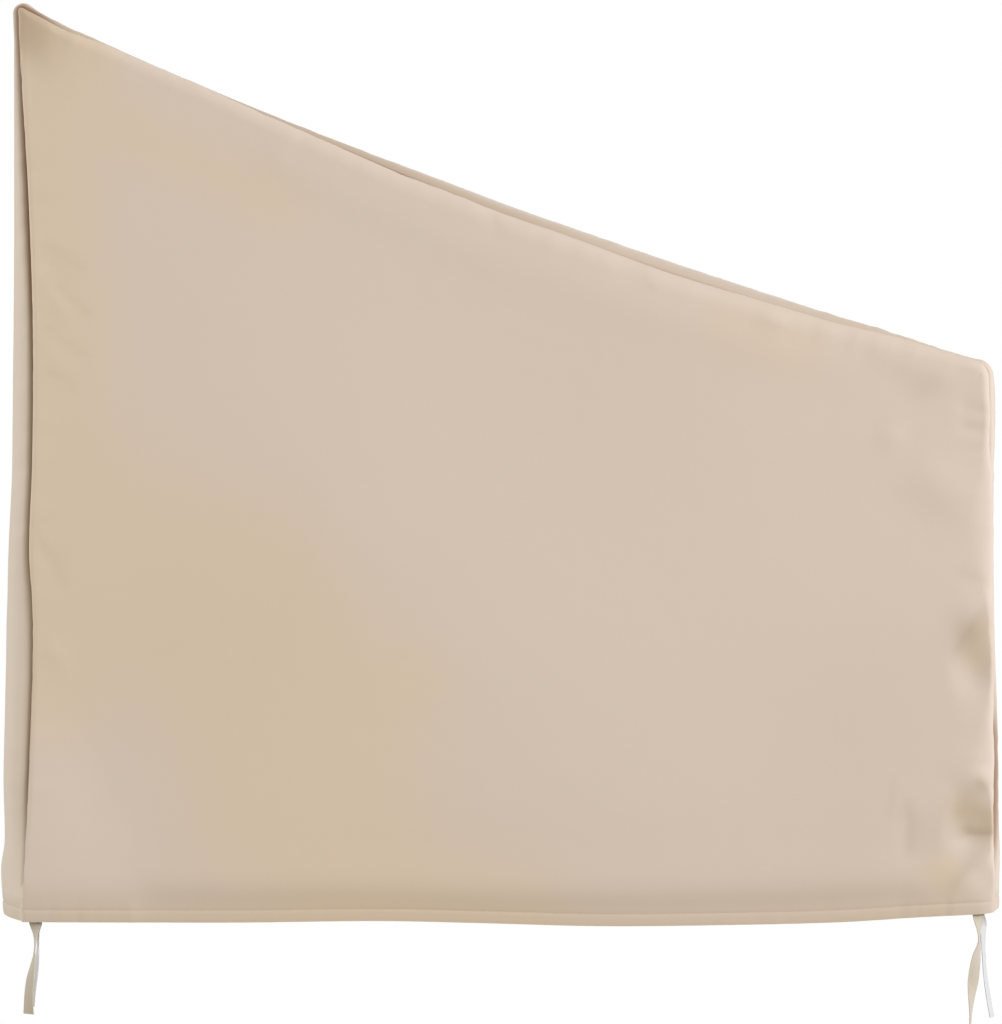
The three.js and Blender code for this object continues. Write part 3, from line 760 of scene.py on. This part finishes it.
def side_sheet(cut, folds, seed):
    """The side panel on the near side, laid out."""
    half = cut["half_width"]
    sheet = Sheet()
    edge, width, depth = (between(table, ALONG) for table in (EDGE_PLACE, EDGE_ROLL, EDGE_DEPTH))
    edge = edge + EDGE_WANDER * ripple(ALONG, seed + 9)
    # Painted brown shade on the side panel's rolled edge, where it meets the crevice of the back
    # seam
    crevice_shade_share = EDGE_SHADE * between(CREVICE_PAINTED_SHADE, ALONG) * (ALONG < ALONG[RIDGE_STATION])
    rolls = [QUARTER * (1 - step / ROLL_STEPS) for step in range(ROLL_STEPS + 1)]
    rings = []
    for roll in rolls:
        offsets = edge - width * (1 - math.cos(roll))
        places = seam_places(offsets)
        x, z = places.T
        shown = ease(math.sin(roll))
        relief = side_relief(x, z, SIDE_HEIGHTS, cut, folds, seed) * shown
        out = FACE_LIFT + FACE_ROLL - depth * (1 - math.sin(roll)) + relief
        points = joined(x, -half - out, z)
        spread = (QUARTER - roll) / QUARTER * ROLL_SPREAD
        flat = places + (places - seam_places(offsets - 1.0)) * spread
        sewn = roll == 0
        rings.append(sheet.add(
            points, flat, folded=hem_fold(SIDE_HEIGHTS, cut) * (not sewn),
            marked=(SIDE_HEIGHTS == cut["hem"]) * (not sewn), cast=cast_at(x, z),
            shade=np.maximum(face_shade(x, z), crevice_shade_share * (1 - math.sin(roll)) ** 3),
        ))
    tucked = np.minimum(edge, SIDE_ALLOWANCE)
    for share, offsets in zip(TUCK_SHARES, (edge, tucked, tucked, tucked)):
        places = seam_places(offsets)
        x, z = places.T
        points = joined(x, cut["allowance"] * share - half, z)
        flat = places + (0, TUCK_START + cut["allowance"] * share)
        # The tucked allowance lies in full painted shade
        rings.append(sheet.add(points, flat, shade=1.0))
    sheet.fill(np.array(rings))
    add_face(sheet, rings[0], cut, folds, seed)
    return sheet.cloth()


def add_face(sheet, rim, cut, folds, seed):
    """The flat face inside the rolled edge, as an even grid between its four sides."""
    rim_points = np.concatenate(sheet.parts["points"])
    left = rim[: RIDGE_STATION + 1]
    top = rim[RIDGE_STATION: FRONT_STATION + 1]
    right = rim[FRONT_STATION:][::-1]
    sides = [rim_points[side][:, (0, 2)] for side in (left, top, right)]
    rows, columns = len(left) - 1, len(top) - 1
    u = np.array([crowded(share) for share in shares(columns)])[:-1, None]
    v = (sides[0][:rows, 1] / sides[1][0, 1] + sides[2][:rows, 1] / sides[1][-1, 1]) / 2
    across = sides[0][:rows, None] * (1 - u) + sides[2][:rows, None] * u
    chord = sides[1][0] * (1 - u) + sides[1][-1] * u
    place = across + v[:, None, None] * (sides[1][1:-1] - chord)[None]
    x, z = place[..., 0], place[..., 1]
    heights = np.broadcast_to(SIDE_HEIGHTS[:rows, None], x.shape)
    out = FACE_LIFT + FACE_ROLL + side_relief(x, z, heights, cut, folds, seed)
    folded = hem_fold(heights, cut)
    points = joined(x, -cut["half_width"] - out, z)
    face = sheet.add(
        points, place, folded=folded, marked=heights == cut["hem"], shade=face_shade(x, z),
        cast=cast_at(x, z),
    )
    grid = np.concatenate((left[:rows, None], face, right[:rows, None]), axis=1)
    sheet.fill(np.concatenate((grid, top[None]), axis=0))


# Centre panel: back, slope and front in one length


def centre_section(station, cut):
    """Depths in from the near edge, rises over the seam and whether sewn, for half the width."""
    height = float(between(SWELL, station["along"]))
    arch = float(between(ARCH, station["along"]))
    from_hem = min(station["along"], ALONG[-1] - station["along"])
    open_share = float(ease(1 - from_hem / OPEN_HEIGHT))
    reach = SWELL_REACH * height * (1 + (OPEN_REACH - 1) * open_share)
    straight = OPEN_SHARE * open_share
    rows = [(cut["allowance"] * share, -SEAM_TURN, 1.0) for share in (1.0, 0.6)]
    for share in [0.0, *shares(SEAM_STEPS)]:
        angle = QUARTER * share
        rows.append((SEAM_TURN * (1 - math.sin(angle)), -SEAM_TURN * math.cos(angle), 1.0))
    for share in shares(SWELL_STEPS):
        angle = QUARTER * share
        depth = (1 - straight) * (1 - math.cos(angle)) + straight * share
        rows.append((reach * depth, height * math.sin(angle), 0.0))
    for share in shares(MIDDLE_STEPS):
        depth = reach + (cut["half_width"] - reach) * share
        rows.append((depth, height + arch * float(ease(share)), 0.0))
    return np.array(rows)


def centre_sheet(cut, seed):
    sheet = Sheet()
    half_width = cut["half_width"]
    rows = []
    for station in STATIONS:
        half = centre_section(station, cut)
        depth, rise, sewn = np.concatenate((half, half[-2::-1])).T
        far = np.arange(len(depth)) < len(half)
        y = np.where(far, half_width - depth, depth - half_width)
        along = station["along"]
        free = 1 - sewn
        seam_ripple = ripple(along, seed) * far + ripple(along, seed + 3) * ~far
        relief = fold_height(CENTRE_FOLDS, along, y) * ease(depth / FOLD_START)
        puckers = cut["pucker"] * seam_ripple * ease(depth / 5.0)
        relief += puckers * fall_off(depth, CENTRE_PUCKER_REACH)
        height = station.get("height", OVER_HEM)
        relief += hem_relief(height, cut["hem"]) * ease(depth / 4.0)
        near_hem = HEM_WAVE_SHARE * cut["pucker"] * ripple(y * HEM_WAVE_RATE, seed + 7)
        relief += near_hem * ease(depth / 20.0) * fall_off(height, HEM_WAVE_REACH)
        place = seam_point(station, rise + relief * free)
        points = joined(place[:, 0], y, place[:, 1])
        flat = joined(along, y)
        # Painted brown shade in the seam's crevice, outward from where the side panel's edge
        # covers it; the painted hem shade goes on too
        arc = summed(np.hypot(np.diff(half[:, 0]), np.diff(half[:, 1])) * (1 - half[1:, 2]))
        arc = np.maximum(arc - max(float(between(EDGE_PLACE, along)), 0.0) - CREVICE_SHADE_WIDTH, 0.0)
        arc = np.concatenate((arc, arc[-2::-1])) / between(CREVICE_SHADE_REACH, along)
        crevice_shade_share = between(CREVICE_PAINTED_SHADE, along) * np.exp(-(arc**2))
        rows.append(sheet.add(
            points, flat, folded=hem_fold(height, cut) * free,
            marked=free * (height == cut["hem"]), cast=CENTRE_CAST,
            shade=np.maximum(crevice_shade_share, float(face_shade(MID_SIDE, height)) * free),
        ))
    sheet.fill(np.array(rows))
    return sheet.cloth()


# Ties: one length of tape, folded at its middle inside the hem, with two tails below it


def tail_rows(tail):
    """A tail's rows (x, swing, drop, turn) at fine even steps from its root to its tip."""
    rows = np.array(tail, float)
    keys = rows[:, 2]
    drops = np.linspace(keys[0], keys[-1], TAIL_STEPS)
    x, swing, turn = (between(rows[:, (2, column)], drops) for column in (0, 1, 3))
    return joined(x, swing, drops, turn)


def tie_sheet(tie, cut, tape):
    turned = []
    for step in range(TAPE_TURN_STEPS + 1):
        angle = math.pi * step / TAPE_TURN_STEPS
        swing = TAPE_TURN * (1 - math.cos(angle))
        turned.append((tie.root_x, swing, -TAPE_SEWN - TAPE_TURN * math.sin(angle), 0.0))
    sewn = [(tie.root_x, 0, 0, 0), *turned, (tie.root_x, 2 * TAPE_TURN, 0, 0)]
    rows = np.concatenate((tail_rows(tie.first)[::-1], sewn, tail_rows(tie.second)))
    face = cut["half_width"] + FACE_LIFT + FACE_ROLL - TAPE_DEPTH
    root = np.array(((tie.root_x, tie.side * face, 0.0),))
    level = hang(root, cut["half_width"])[0, 2]
    across = np.linspace(-0.5, 0.5, TAPE_ACROSS + 1) * tape["width"]
    angle = np.radians(rows[:, 3])[:, None]
    curl = 0.5 * (1 - (2 * across / tape["width"]) ** 2)[None] * ease(rows[:, 2] / 20)[:, None]
    x = rows[:, 0][:, None] + across[None] * np.cos(angle) - curl * np.sin(angle)
    out = across[None] * np.sin(angle) + curl * np.cos(angle)
    y = tie.side * (face - rows[:, 1][:, None] + out)
    points = joined(x, y, (level - rows[:, 2])[:, None])
    steps = np.linalg.norm(np.diff(points[:, TAPE_ACROSS // 2], axis=0), axis=1)
    length = summed(steps)
    flat = joined(across, length[:, None])
    second_tail = np.arange(len(rows)) >= len(rows) - TAIL_STEPS
    sheet = Sheet()
    # The second tail is marked for its painted highlight
    sheet.fill(sheet.add(points, flat, marked=second_tail[:, None]))
    return sheet.cloth(), float(length[-1])


# Shader maths and nodes


class Value:
    """A node's output socket that can be used in sums."""

    def __init__(self, tree, socket):
        self.tree, self.socket = tree, socket

    def math(self, operation, *others):
        values = {index: value for index, value in enumerate((self, *others))}
        return self.tree.add("ShaderNodeMath", {"operation": operation}, values)

    def __add__(self, other):
        return self.math("ADD", other)

    def __sub__(self, other):
        return self.math("SUBTRACT", other)

    def __mul__(self, other):
        return self.math("MULTIPLY", other)


class Nodes:
    """A node tree, with one way to add any node: its type, settings and sockets."""

    def __init__(self, tree):
        self.tree = tree

    def put(self, kind, settings=None, sockets=None):
        node = self.tree.nodes.new(kind)
        for name, value in (settings or {}).items():
            if name == "stops":
                ramp = node.color_ramp
                for index, (place, colour) in enumerate(value):
                    stop = ramp.elements[index] if index < 2 else ramp.elements.new(place)
                    stop.position, stop.color = place, (*colour, 1.0)
            else:
                setattr(node, name, value)
        for name, value in (sockets or {}).items():
            if isinstance(value, Value):
                self.tree.links.new(value.socket, node.inputs[name])
            else:
                node.inputs[name].default_value = value
        return node

    def add(self, kind, settings=None, sockets=None, output=0):
        return Value(self, self.put(kind, settings, sockets).outputs[output])

    def scaled(self, place, size):
        """A vector divided by a size, in metres, on each axis."""
        return self.add("ShaderNodeVectorMath", {"operation": "DIVIDE"}, {0: place, 1: size})

    def noise(self, place, size, detail=2.0, roughness=0.5):
        settings = {"noise_dimensions": "3D"}
        sockets = {"Vector": self.scaled(place, (size,) * 3), "Scale": 1.0, "Detail": detail}
        return self.add("ShaderNodeTexNoise", settings, {**sockets, "Roughness": roughness})

    def spread(self, value, low, high):
        """A value taken smoothly from 0 at its low limit to 1 at its high one."""
        sockets = {"Value": value, "From Min": low, "From Max": high}
        return self.add("ShaderNodeMapRange", {"interpolation_type": "SMOOTHSTEP"}, sockets)

    def blended(self, share, first, second):
        """One colour over another by a share."""
        node = self.put("ShaderNodeMix", {"data_type": "RGBA"}, {0: share, 6: first, 7: second})
        return Value(self, node.outputs[2])

    def shaded(self, colour, light):
        """A colour made lighter or darker by a number."""
        sockets = {0: colour, "Scale": light}
        return self.add("ShaderNodeVectorMath", {"operation": "SCALE"}, sockets)


def cleared_nodes(owner, output):
    """The node tree of a material or a world, empty but for its output."""
    owner.use_nodes = True
    owner.node_tree.nodes.clear()
    nodes = Nodes(owner.node_tree)
    return nodes, nodes.put(output)


def new_material(name):
    material = bpy.data.materials.new(name)
    return material, *cleared_nodes(material, "ShaderNodeOutputMaterial")


def finish_material(nodes, output, colour, roughness, heights, constants):
    """A Principled shader with its bumps in order, from broad to fine."""
    normal = None
    for height, distance, strength in heights:
        sockets = {"Height": height, "Distance": distance, "Strength": strength}
        if normal is not None:
            sockets["Normal"] = normal
        normal = nodes.add("ShaderNodeBump", None, sockets)
    sockets = {"Base Color": colour, "Roughness": roughness, "Normal": normal, **constants}
    shader = nodes.add("ShaderNodeBsdfPrincipled", None, sockets)
    nodes.tree.links.new(shader.socket, output.inputs["Surface"])


def across_and_along(nodes, place):
    parts = nodes.put("ShaderNodeSeparateXYZ", None, {0: place})
    return [Value(nodes, parts.outputs[axis]) for axis in (0, 1)]


def waves(place, pitch):
    return (place * (math.tau / pitch)).math("SINE")


def woven(nodes, place, pitch):
    """Height of a plain weave of the flat pattern, from 0 to 1."""
    across, along = across_and_along(nodes, place)
    return waves(across, pitch) * waves(along, pitch) * 0.5 + 0.5


def flat_place(nodes):
    return nodes.add("ShaderNodeUVMap", {"uv_map": "flat"})


def object_place(nodes):
    return nodes.add("ShaderNodeTexCoord", output=3)


def mark(nodes, name):
    """A number that each point of the cloth carries."""
    return nodes.add("ShaderNodeAttribute", {"attribute_name": name}, output=2)


# Pitches and sizes of the weave and the tape in metres, and what half painted shade multiplies by
WEAVE_PITCH = 0.0012
RIB_PITCH = 0.0011
TAPE_EDGE = (0.0046, 0.0056)
HALF_SHADE = (0.77, 0.735, 0.67)


def cloth_material(name, first, second, painted_shade_colour, rough, sheen):
    """Coated plain weave: two casts in soft patches, painted brown shade in crevices, faint
    creases and a weave.
    """
    material, nodes, output = new_material(name)
    place, flat = object_place(nodes), flat_place(nodes)
    cast = mark(nodes, "cast") + nodes.noise(place, 0.2, 3.0) * 0.4 - 0.2
    colour = nodes.blended(nodes.spread(cast, 0.0, 1.0), (*first, 1.0), (*second, 1.0))
    # Painted shade: the cloth's colour is multiplied by a tint from white through half shade to
    # full shade
    stops = ((0.0, WHITE[:3]), (1.0, painted_shade_colour), (0.5, HALF_SHADE))
    painted_shade_tint = nodes.add("ShaderNodeValToRGB", {"stops": stops}, {0: mark(nodes, "shade")})
    colour = nodes.add("ShaderNodeVectorMath", {"operation": "MULTIPLY"}, {0: colour, 1: painted_shade_tint})
    broad = nodes.noise(place, 0.24) * 0.024
    speckle = nodes.noise(flat, 0.0022, 3.0, 0.7) * 0.03
    weave = woven(nodes, flat, WEAVE_PITCH)
    light = broad + speckle + weave * 0.02 + 0.963
    colour = nodes.shaded(colour, light)
    creases = nodes.noise(flat, 0.034, 5.0, 0.55)
    rough = nodes.noise(flat, 0.05, 3.0) * 0.12 + (rough - 0.06)
    heights = ((creases, 0.001, 0.35), (speckle, 0.0006, 0.2), (weave, 0.0001, 0.4))
    constants = {"Specular IOR Level": 0.35, "Sheen Weight": sheen, "Sheen Roughness": 0.45}
    finish_material(nodes, output, colour, rough, heights, constants)
    return material


def tape_material(colours):
    """Narrow woven tape with cross ribs, with a painted highlight: paler where it is marked."""
    material, nodes, output = new_material("woven_tape")
    flat = flat_place(nodes)
    across, along = across_and_along(nodes, flat)
    ribs = waves(along, RIB_PITCH) * 0.5 + 0.5
    edge = nodes.spread(across.math("ABSOLUTE"), *TAPE_EDGE)
    # Painted highlight: the marked second tail takes the paler colour
    pale = mark(nodes, "marked")
    tan = nodes.blended(pale, (*colours.tape, 1.0), (*colours.painted_highlight_tape, 1.0))
    fuzz = nodes.noise(flat, 0.0016, 4.0, 0.7)
    light = ribs * 0.03 + fuzz * 0.1 + edge * 0.04 + 0.92
    colour = nodes.shaded(tan, light)
    rough = fuzz * 0.1 + 0.82
    heights = ((fuzz, 0.0003, 0.4), (ribs, 0.0002, 0.45), (edge, 0.0003, 0.5))
    finish_material(nodes, output, colour, rough, heights, {"Sheen Weight": 0.2})
    return material


def thread_material(colours):
    material, nodes, output = new_material("sewing_thread")
    place = object_place(nodes)
    twist = nodes.noise(place, 0.0009)
    colour = nodes.shaded(tuple(colours.thread), twist * 0.3 + 0.85)
    finish_material(nodes, output, colour, twist * 0.1 + 0.5, ((twist, 0.0002, 0.5),), {})
    return material


def finishes():
    """The cover's materials by name, made the first time that one is asked for."""
    colours = bpy.context.scene.cover_colours
    if "woven_cloth" not in bpy.data.materials:
        painted_shade_colour = colours.painted_shade_colour
        cloth_material("woven_cloth", colours.pink, colours.yellow, painted_shade_colour, 0.62, 0.4)
        cloth_material("cloth_coating", colours.coating, colours.yellow, painted_shade_colour, 0.42, 0.0)
        tape_material(colours)
        thread_material(colours)
    return bpy.data.materials


# Hem stitches, as a tree that follows the marked line of a panel


STITCH_SHARE = 0.82


def stitch_tree():
    tree = bpy.data.node_groups.new("hem_stitches", "GeometryNodeTree")
    for name, way, kind in (
        ("Panel", "INPUT", "Geometry"), ("Pitch", "INPUT", "Float"), ("Thread", "INPUT", "Float"),
        ("Finish", "INPUT", "Material"), ("Stitches", "OUTPUT", "Geometry"),
    ):
        tree.interface.new_socket(name, in_out=way, socket_type=f"NodeSocket{kind}")
    nodes = Nodes(tree)
    given = nodes.put("NodeGroupInput")
    panel, pitch, thread, finish = (Value(nodes, given.outputs[index]) for index in range(4))
    named = {"Name": "marked"}
    marked = nodes.add("GeometryNodeInputNamedAttribute", {"data_type": "FLOAT"}, named)
    on_line = nodes.add("FunctionNodeCompare", {"operation": "GREATER_THAN"}, {0: marked, 1: 0.5})
    line = nodes.add("GeometryNodeMeshToCurve", None, {"Mesh": panel, "Selection": on_line})
    spaced = {"Curve": line, "Length": pitch}
    spots = nodes.put("GeometryNodeCurveToPoints", {"mode": "LENGTH"}, spaced)
    points, tangent = Value(nodes, spots.outputs[0]), Value(nodes, spots.outputs[1])
    turn = nodes.add("FunctionNodeAlignRotationToVector", {"axis": "Z"}, {"Vector": tangent})
    ball = nodes.add("GeometryNodeMeshUVSphere", None, {"Segments": 6, "Rings": 4, "Radius": 0.5})
    long = nodes.add("ShaderNodeCombineXYZ", None, {0: thread, 1: thread, 2: pitch * STITCH_SHARE})
    stitch = nodes.add("GeometryNodeTransform", None, {"Geometry": ball, "Scale": long})
    uneven = nodes.add(
        "FunctionNodeRandomValue", {"data_type": "FLOAT"}, {2: 0.88, 3: 1.06, 8: 7}, output=1
    )
    sewn = nodes.add(
        "GeometryNodeInstanceOnPoints", None,
        {"Points": points, "Instance": stitch, "Rotation": turn, "Scale": uneven},
    )
    real = nodes.add("GeometryNodeRealizeInstances", None, {"Geometry": sewn})
    done = nodes.add("GeometryNodeSetMaterial", None, {"Geometry": real, "Material": finish})
    given_back = nodes.put("NodeGroupOutput")
    tree.links.new(done.socket, given_back.inputs[0])
    return tree


def stitches_for(panel, name, tree, sizes, thread):
    """The stitches along a panel's marked line, as a plain mesh of their own."""
    piece = new_object(name, panel.data.copy())
    modifier = piece.modifiers.new("Stitches", "NODES")
    modifier.node_group = tree
    values = {"Pitch": sizes.pitch, "Thread": sizes.thread, "Finish": thread}
    for socket in tree.interface.items_tree:
        if socket.name in values:
            modifier[socket.identifier] = values[socket.name]
    ready = piece.evaluated_get(bpy.context.evaluated_depsgraph_get())
    mesh = bpy.data.meshes.new_from_object(ready)
    piece.modifiers.clear()
    piece.data = mesh
    mesh.name = name
    mesh.shade_smooth()
    return piece


# Operators


def cut_sizes():
    """The cover's sizes in millimetres."""
    cut = bpy.context.scene.cover_cut
    return {
        "half_width": cut.seam_to_seam * 500, "cloth": cut.cloth * 1000,
        "hem": round(cut.hem_height * 1000, 4), "hem_fold": 2 * cut.cloth * 1000,
        "allowance": cut.allowance * 1000, "pucker": cut.pucker * 1000,
    }


def settle(piece, slot, *nodes):
    """Put a finished piece on the cover's one body, in place of its plain solids."""
    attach(piece, BODY)
    if nodes:
        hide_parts(*nodes)


def sew_panel(name, cloth, cut):
    """A panel hung up and sewn, in place of its plain solids."""
    materials = finishes()
    slots = (materials["woven_cloth"], materials["cloth_coating"])
    hung = cloth._replace(points=hang(cloth.points, cut["half_width"]))
    piece = sewn_piece(f"cloth_{name}", hung, cut["cloth"], slots)
    settle(piece, "panel_cloth", name)
    return piece


class COVER_OT_side_panels(bpy.types.Operator):
    """Make the two side panels, each with its rolled edge, seam allowance and hem"""

    bl_idname = "cover.side_panels"
    bl_label = "Side panels"

    def execute(self, context):
        cut = cut_sizes()
        near = side_sheet(cut, RIGHT_FOLDS, RIGHT_SEED)
        far = mirrored(side_sheet(cut, LEFT_FOLDS, LEFT_SEED))
        for name, cloth in (("side_panel_right", near), ("side_panel_left", far)):
            piece = sew_panel(name, cloth, cut)
        return {"FINISHED"}


class COVER_OT_centre_panel(bpy.types.Operator):
    """Make the one long panel of the back, the slope and the front"""

    bl_idname = "cover.centre_panel"
    bl_label = "Centre panel"

    def execute(self, context):
        cut = cut_sizes()
        piece = sew_panel("centre_panel", centre_sheet(cut, CENTRE_SEED), cut)
        return {"FINISHED"}


class COVER_OT_ties(bpy.types.Operator):
    """Make the four tape ties, each with two tails"""

    bl_idname = "cover.ties"
    bl_label = "Ties"

    def execute(self, context):
        cut = cut_sizes()
        sizes = context.scene.cover_tie
        tape = {"width": sizes.width * 1000, "thickness": sizes.thickness * 1000}
        slots = (finishes()["woven_tape"],)
        for tie in TIES:
            cloth, length = tie_sheet(tie, cut, tape)
            piece = sewn_piece(f"tape_tie_{tie.name}", cloth, tape["thickness"], slots)
            settle(piece, "tie_tape", f"tie_{tie.name}")
        return {"FINISHED"}


class COVER_OT_stitches(bpy.types.Operator):
    """Sew the hem of each panel with a line of stitches"""

    bl_idname = "cover.stitches"
    bl_label = "Hem stitches"

    def execute(self, context):
        tree = stitch_tree()
        sizes = context.scene.cover_stitch
        thread = finishes()["sewing_thread"]
        for name in ("side_panel_right", "side_panel_left", "centre_panel"):
            panel = bpy.data.objects[f"cloth_{name}"]
            piece = stitches_for(panel, f"stitches_{name}", tree, sizes, thread)
            settle(piece, "panel_cloth")
        return {"FINISHED"}


class COVER_OT_stage(bpy.types.Operator):
    """Set up the pale floor, the soft light and the camera"""

    bl_idname = "cover.stage"
    bl_label = "Stage"

    def execute(self, context):
        scene = context.scene
        stage = scene.cover_stage
        add_camera(scene, stage)
        add_lights(scene, stage)
        add_floor()
        scene.view_settings.view_transform = "Standard"
        return {"FINISHED"}


def add_camera(scene, stage):
    camera = bpy.data.cameras.new("camera")
    camera.sensor_width = SENSOR_WIDTH
    camera.lens = SENSOR_WIDTH * stage.camera_distance / PICTURE_HEIGHT
    holder = new_object("camera", camera)
    holder.location = (PICTURE_CENTRE[0], NEAR_SIDE - stage.camera_distance, PICTURE_CENTRE[1])
    holder.rotation_euler = (QUARTER, 0, 0)
    scene.camera = holder


def add_lights(scene, stage):
    centre = Vector((PICTURE_CENTRE[0], 0, PICTURE_CENTRE[1]))
    for name, place, size, colour, power in LIGHTS:
        light = bpy.data.lights.new(name, "AREA")
        light.shape, light.size, light.color = "DISK", size, colour
        light.energy = getattr(stage, power)
        direction = Vector(place).normalized()
        holder = new_object(name, light)
        holder.location = centre + direction * LIGHT_DISTANCE
        holder.rotation_euler = direction.to_track_quat("Z", "Y").to_euler()
    world = bpy.data.worlds.new("surroundings")
    nodes, out = cleared_nodes(world, "ShaderNodeOutputWorld")
    seen = nodes.add("ShaderNodeLightPath")
    strength = seen * (1 - stage.ambient) + stage.ambient
    colour = nodes.blended(seen, WARM, WHITE)
    glow = nodes.add("ShaderNodeBackground", None, {"Color": colour, "Strength": strength})
    world.node_tree.links.new(glow.socket, out.inputs["Surface"])
    scene.world = world


def add_floor():
    """A white floor just under the ties, bright enough to melt into the white surroundings."""
    turns = ((-1, -1), (1, -1), (1, 1), (-1, 1))
    corners = [(x * FLOOR_SIZE, y * FLOOR_SIZE, FLOOR_LEVEL) for x, y in turns]
    mesh = bpy.data.meshes.new("floor")
    mesh.from_pydata(corners, [], [(0, 1, 2, 3)])
    material, nodes, out = new_material("floor")
    glow = nodes.add("ShaderNodeEmission", None, {"Color": WHITE, "Strength": 1.0})
    material.node_tree.links.new(glow.socket, out.inputs["Surface"])
    mesh.materials.append(material)
    floor = new_object("floor", mesh)
    floor.visible_diffuse = floor.visible_glossy = floor.visible_shadow = False


class COVER_PT_pieces(bpy.types.Panel):
    bl_idname = "COVER_PT_pieces"
    bl_label = "Armchair cover"
    bl_space_type = "VIEW_3D"
    bl_region_type = "UI"
    bl_category = "Cover"

    def draw(self, context):
        layout = self.layout
        scene = context.scene
        for name, group in GROUPS.items():
            for prop in group.__annotations__:
                layout.prop(getattr(scene, name), prop)
        for maker in MAKERS:
            layout.operator(maker.bl_idname)


GROUPS = {
    "cover_cut": CoverCut, "cover_tie": CoverTie, "cover_stitch": CoverStitch,
    "cover_colours": CoverColours, "cover_stage": CoverStage,
}
MAKERS = (
    COVER_OT_side_panels, COVER_OT_centre_panel, COVER_OT_ties, COVER_OT_stitches, COVER_OT_stage,
)


def register():
    for group in GROUPS.values():
        bpy.utils.register_class(group)
    for name, group in GROUPS.items():
        setattr(bpy.types.Scene, name, bpy.props.PointerProperty(type=group))
    for maker in (*MAKERS, COVER_PT_pieces):
        bpy.utils.register_class(maker)


def unregister():
    for maker in reversed((*MAKERS, COVER_PT_pieces)):
        bpy.utils.unregister_class(maker)
    for name, group in GROUPS.items():
        delattr(bpy.types.Scene, name)
        bpy.utils.unregister_class(group)


def main():
    register()
    bpy.ops.cover.side_panels()
    bpy.ops.cover.centre_panel()
    bpy.ops.cover.ties()
    bpy.ops.cover.stitches()
    bpy.ops.cover.stage()


if __name__ == "__main__":
    main()
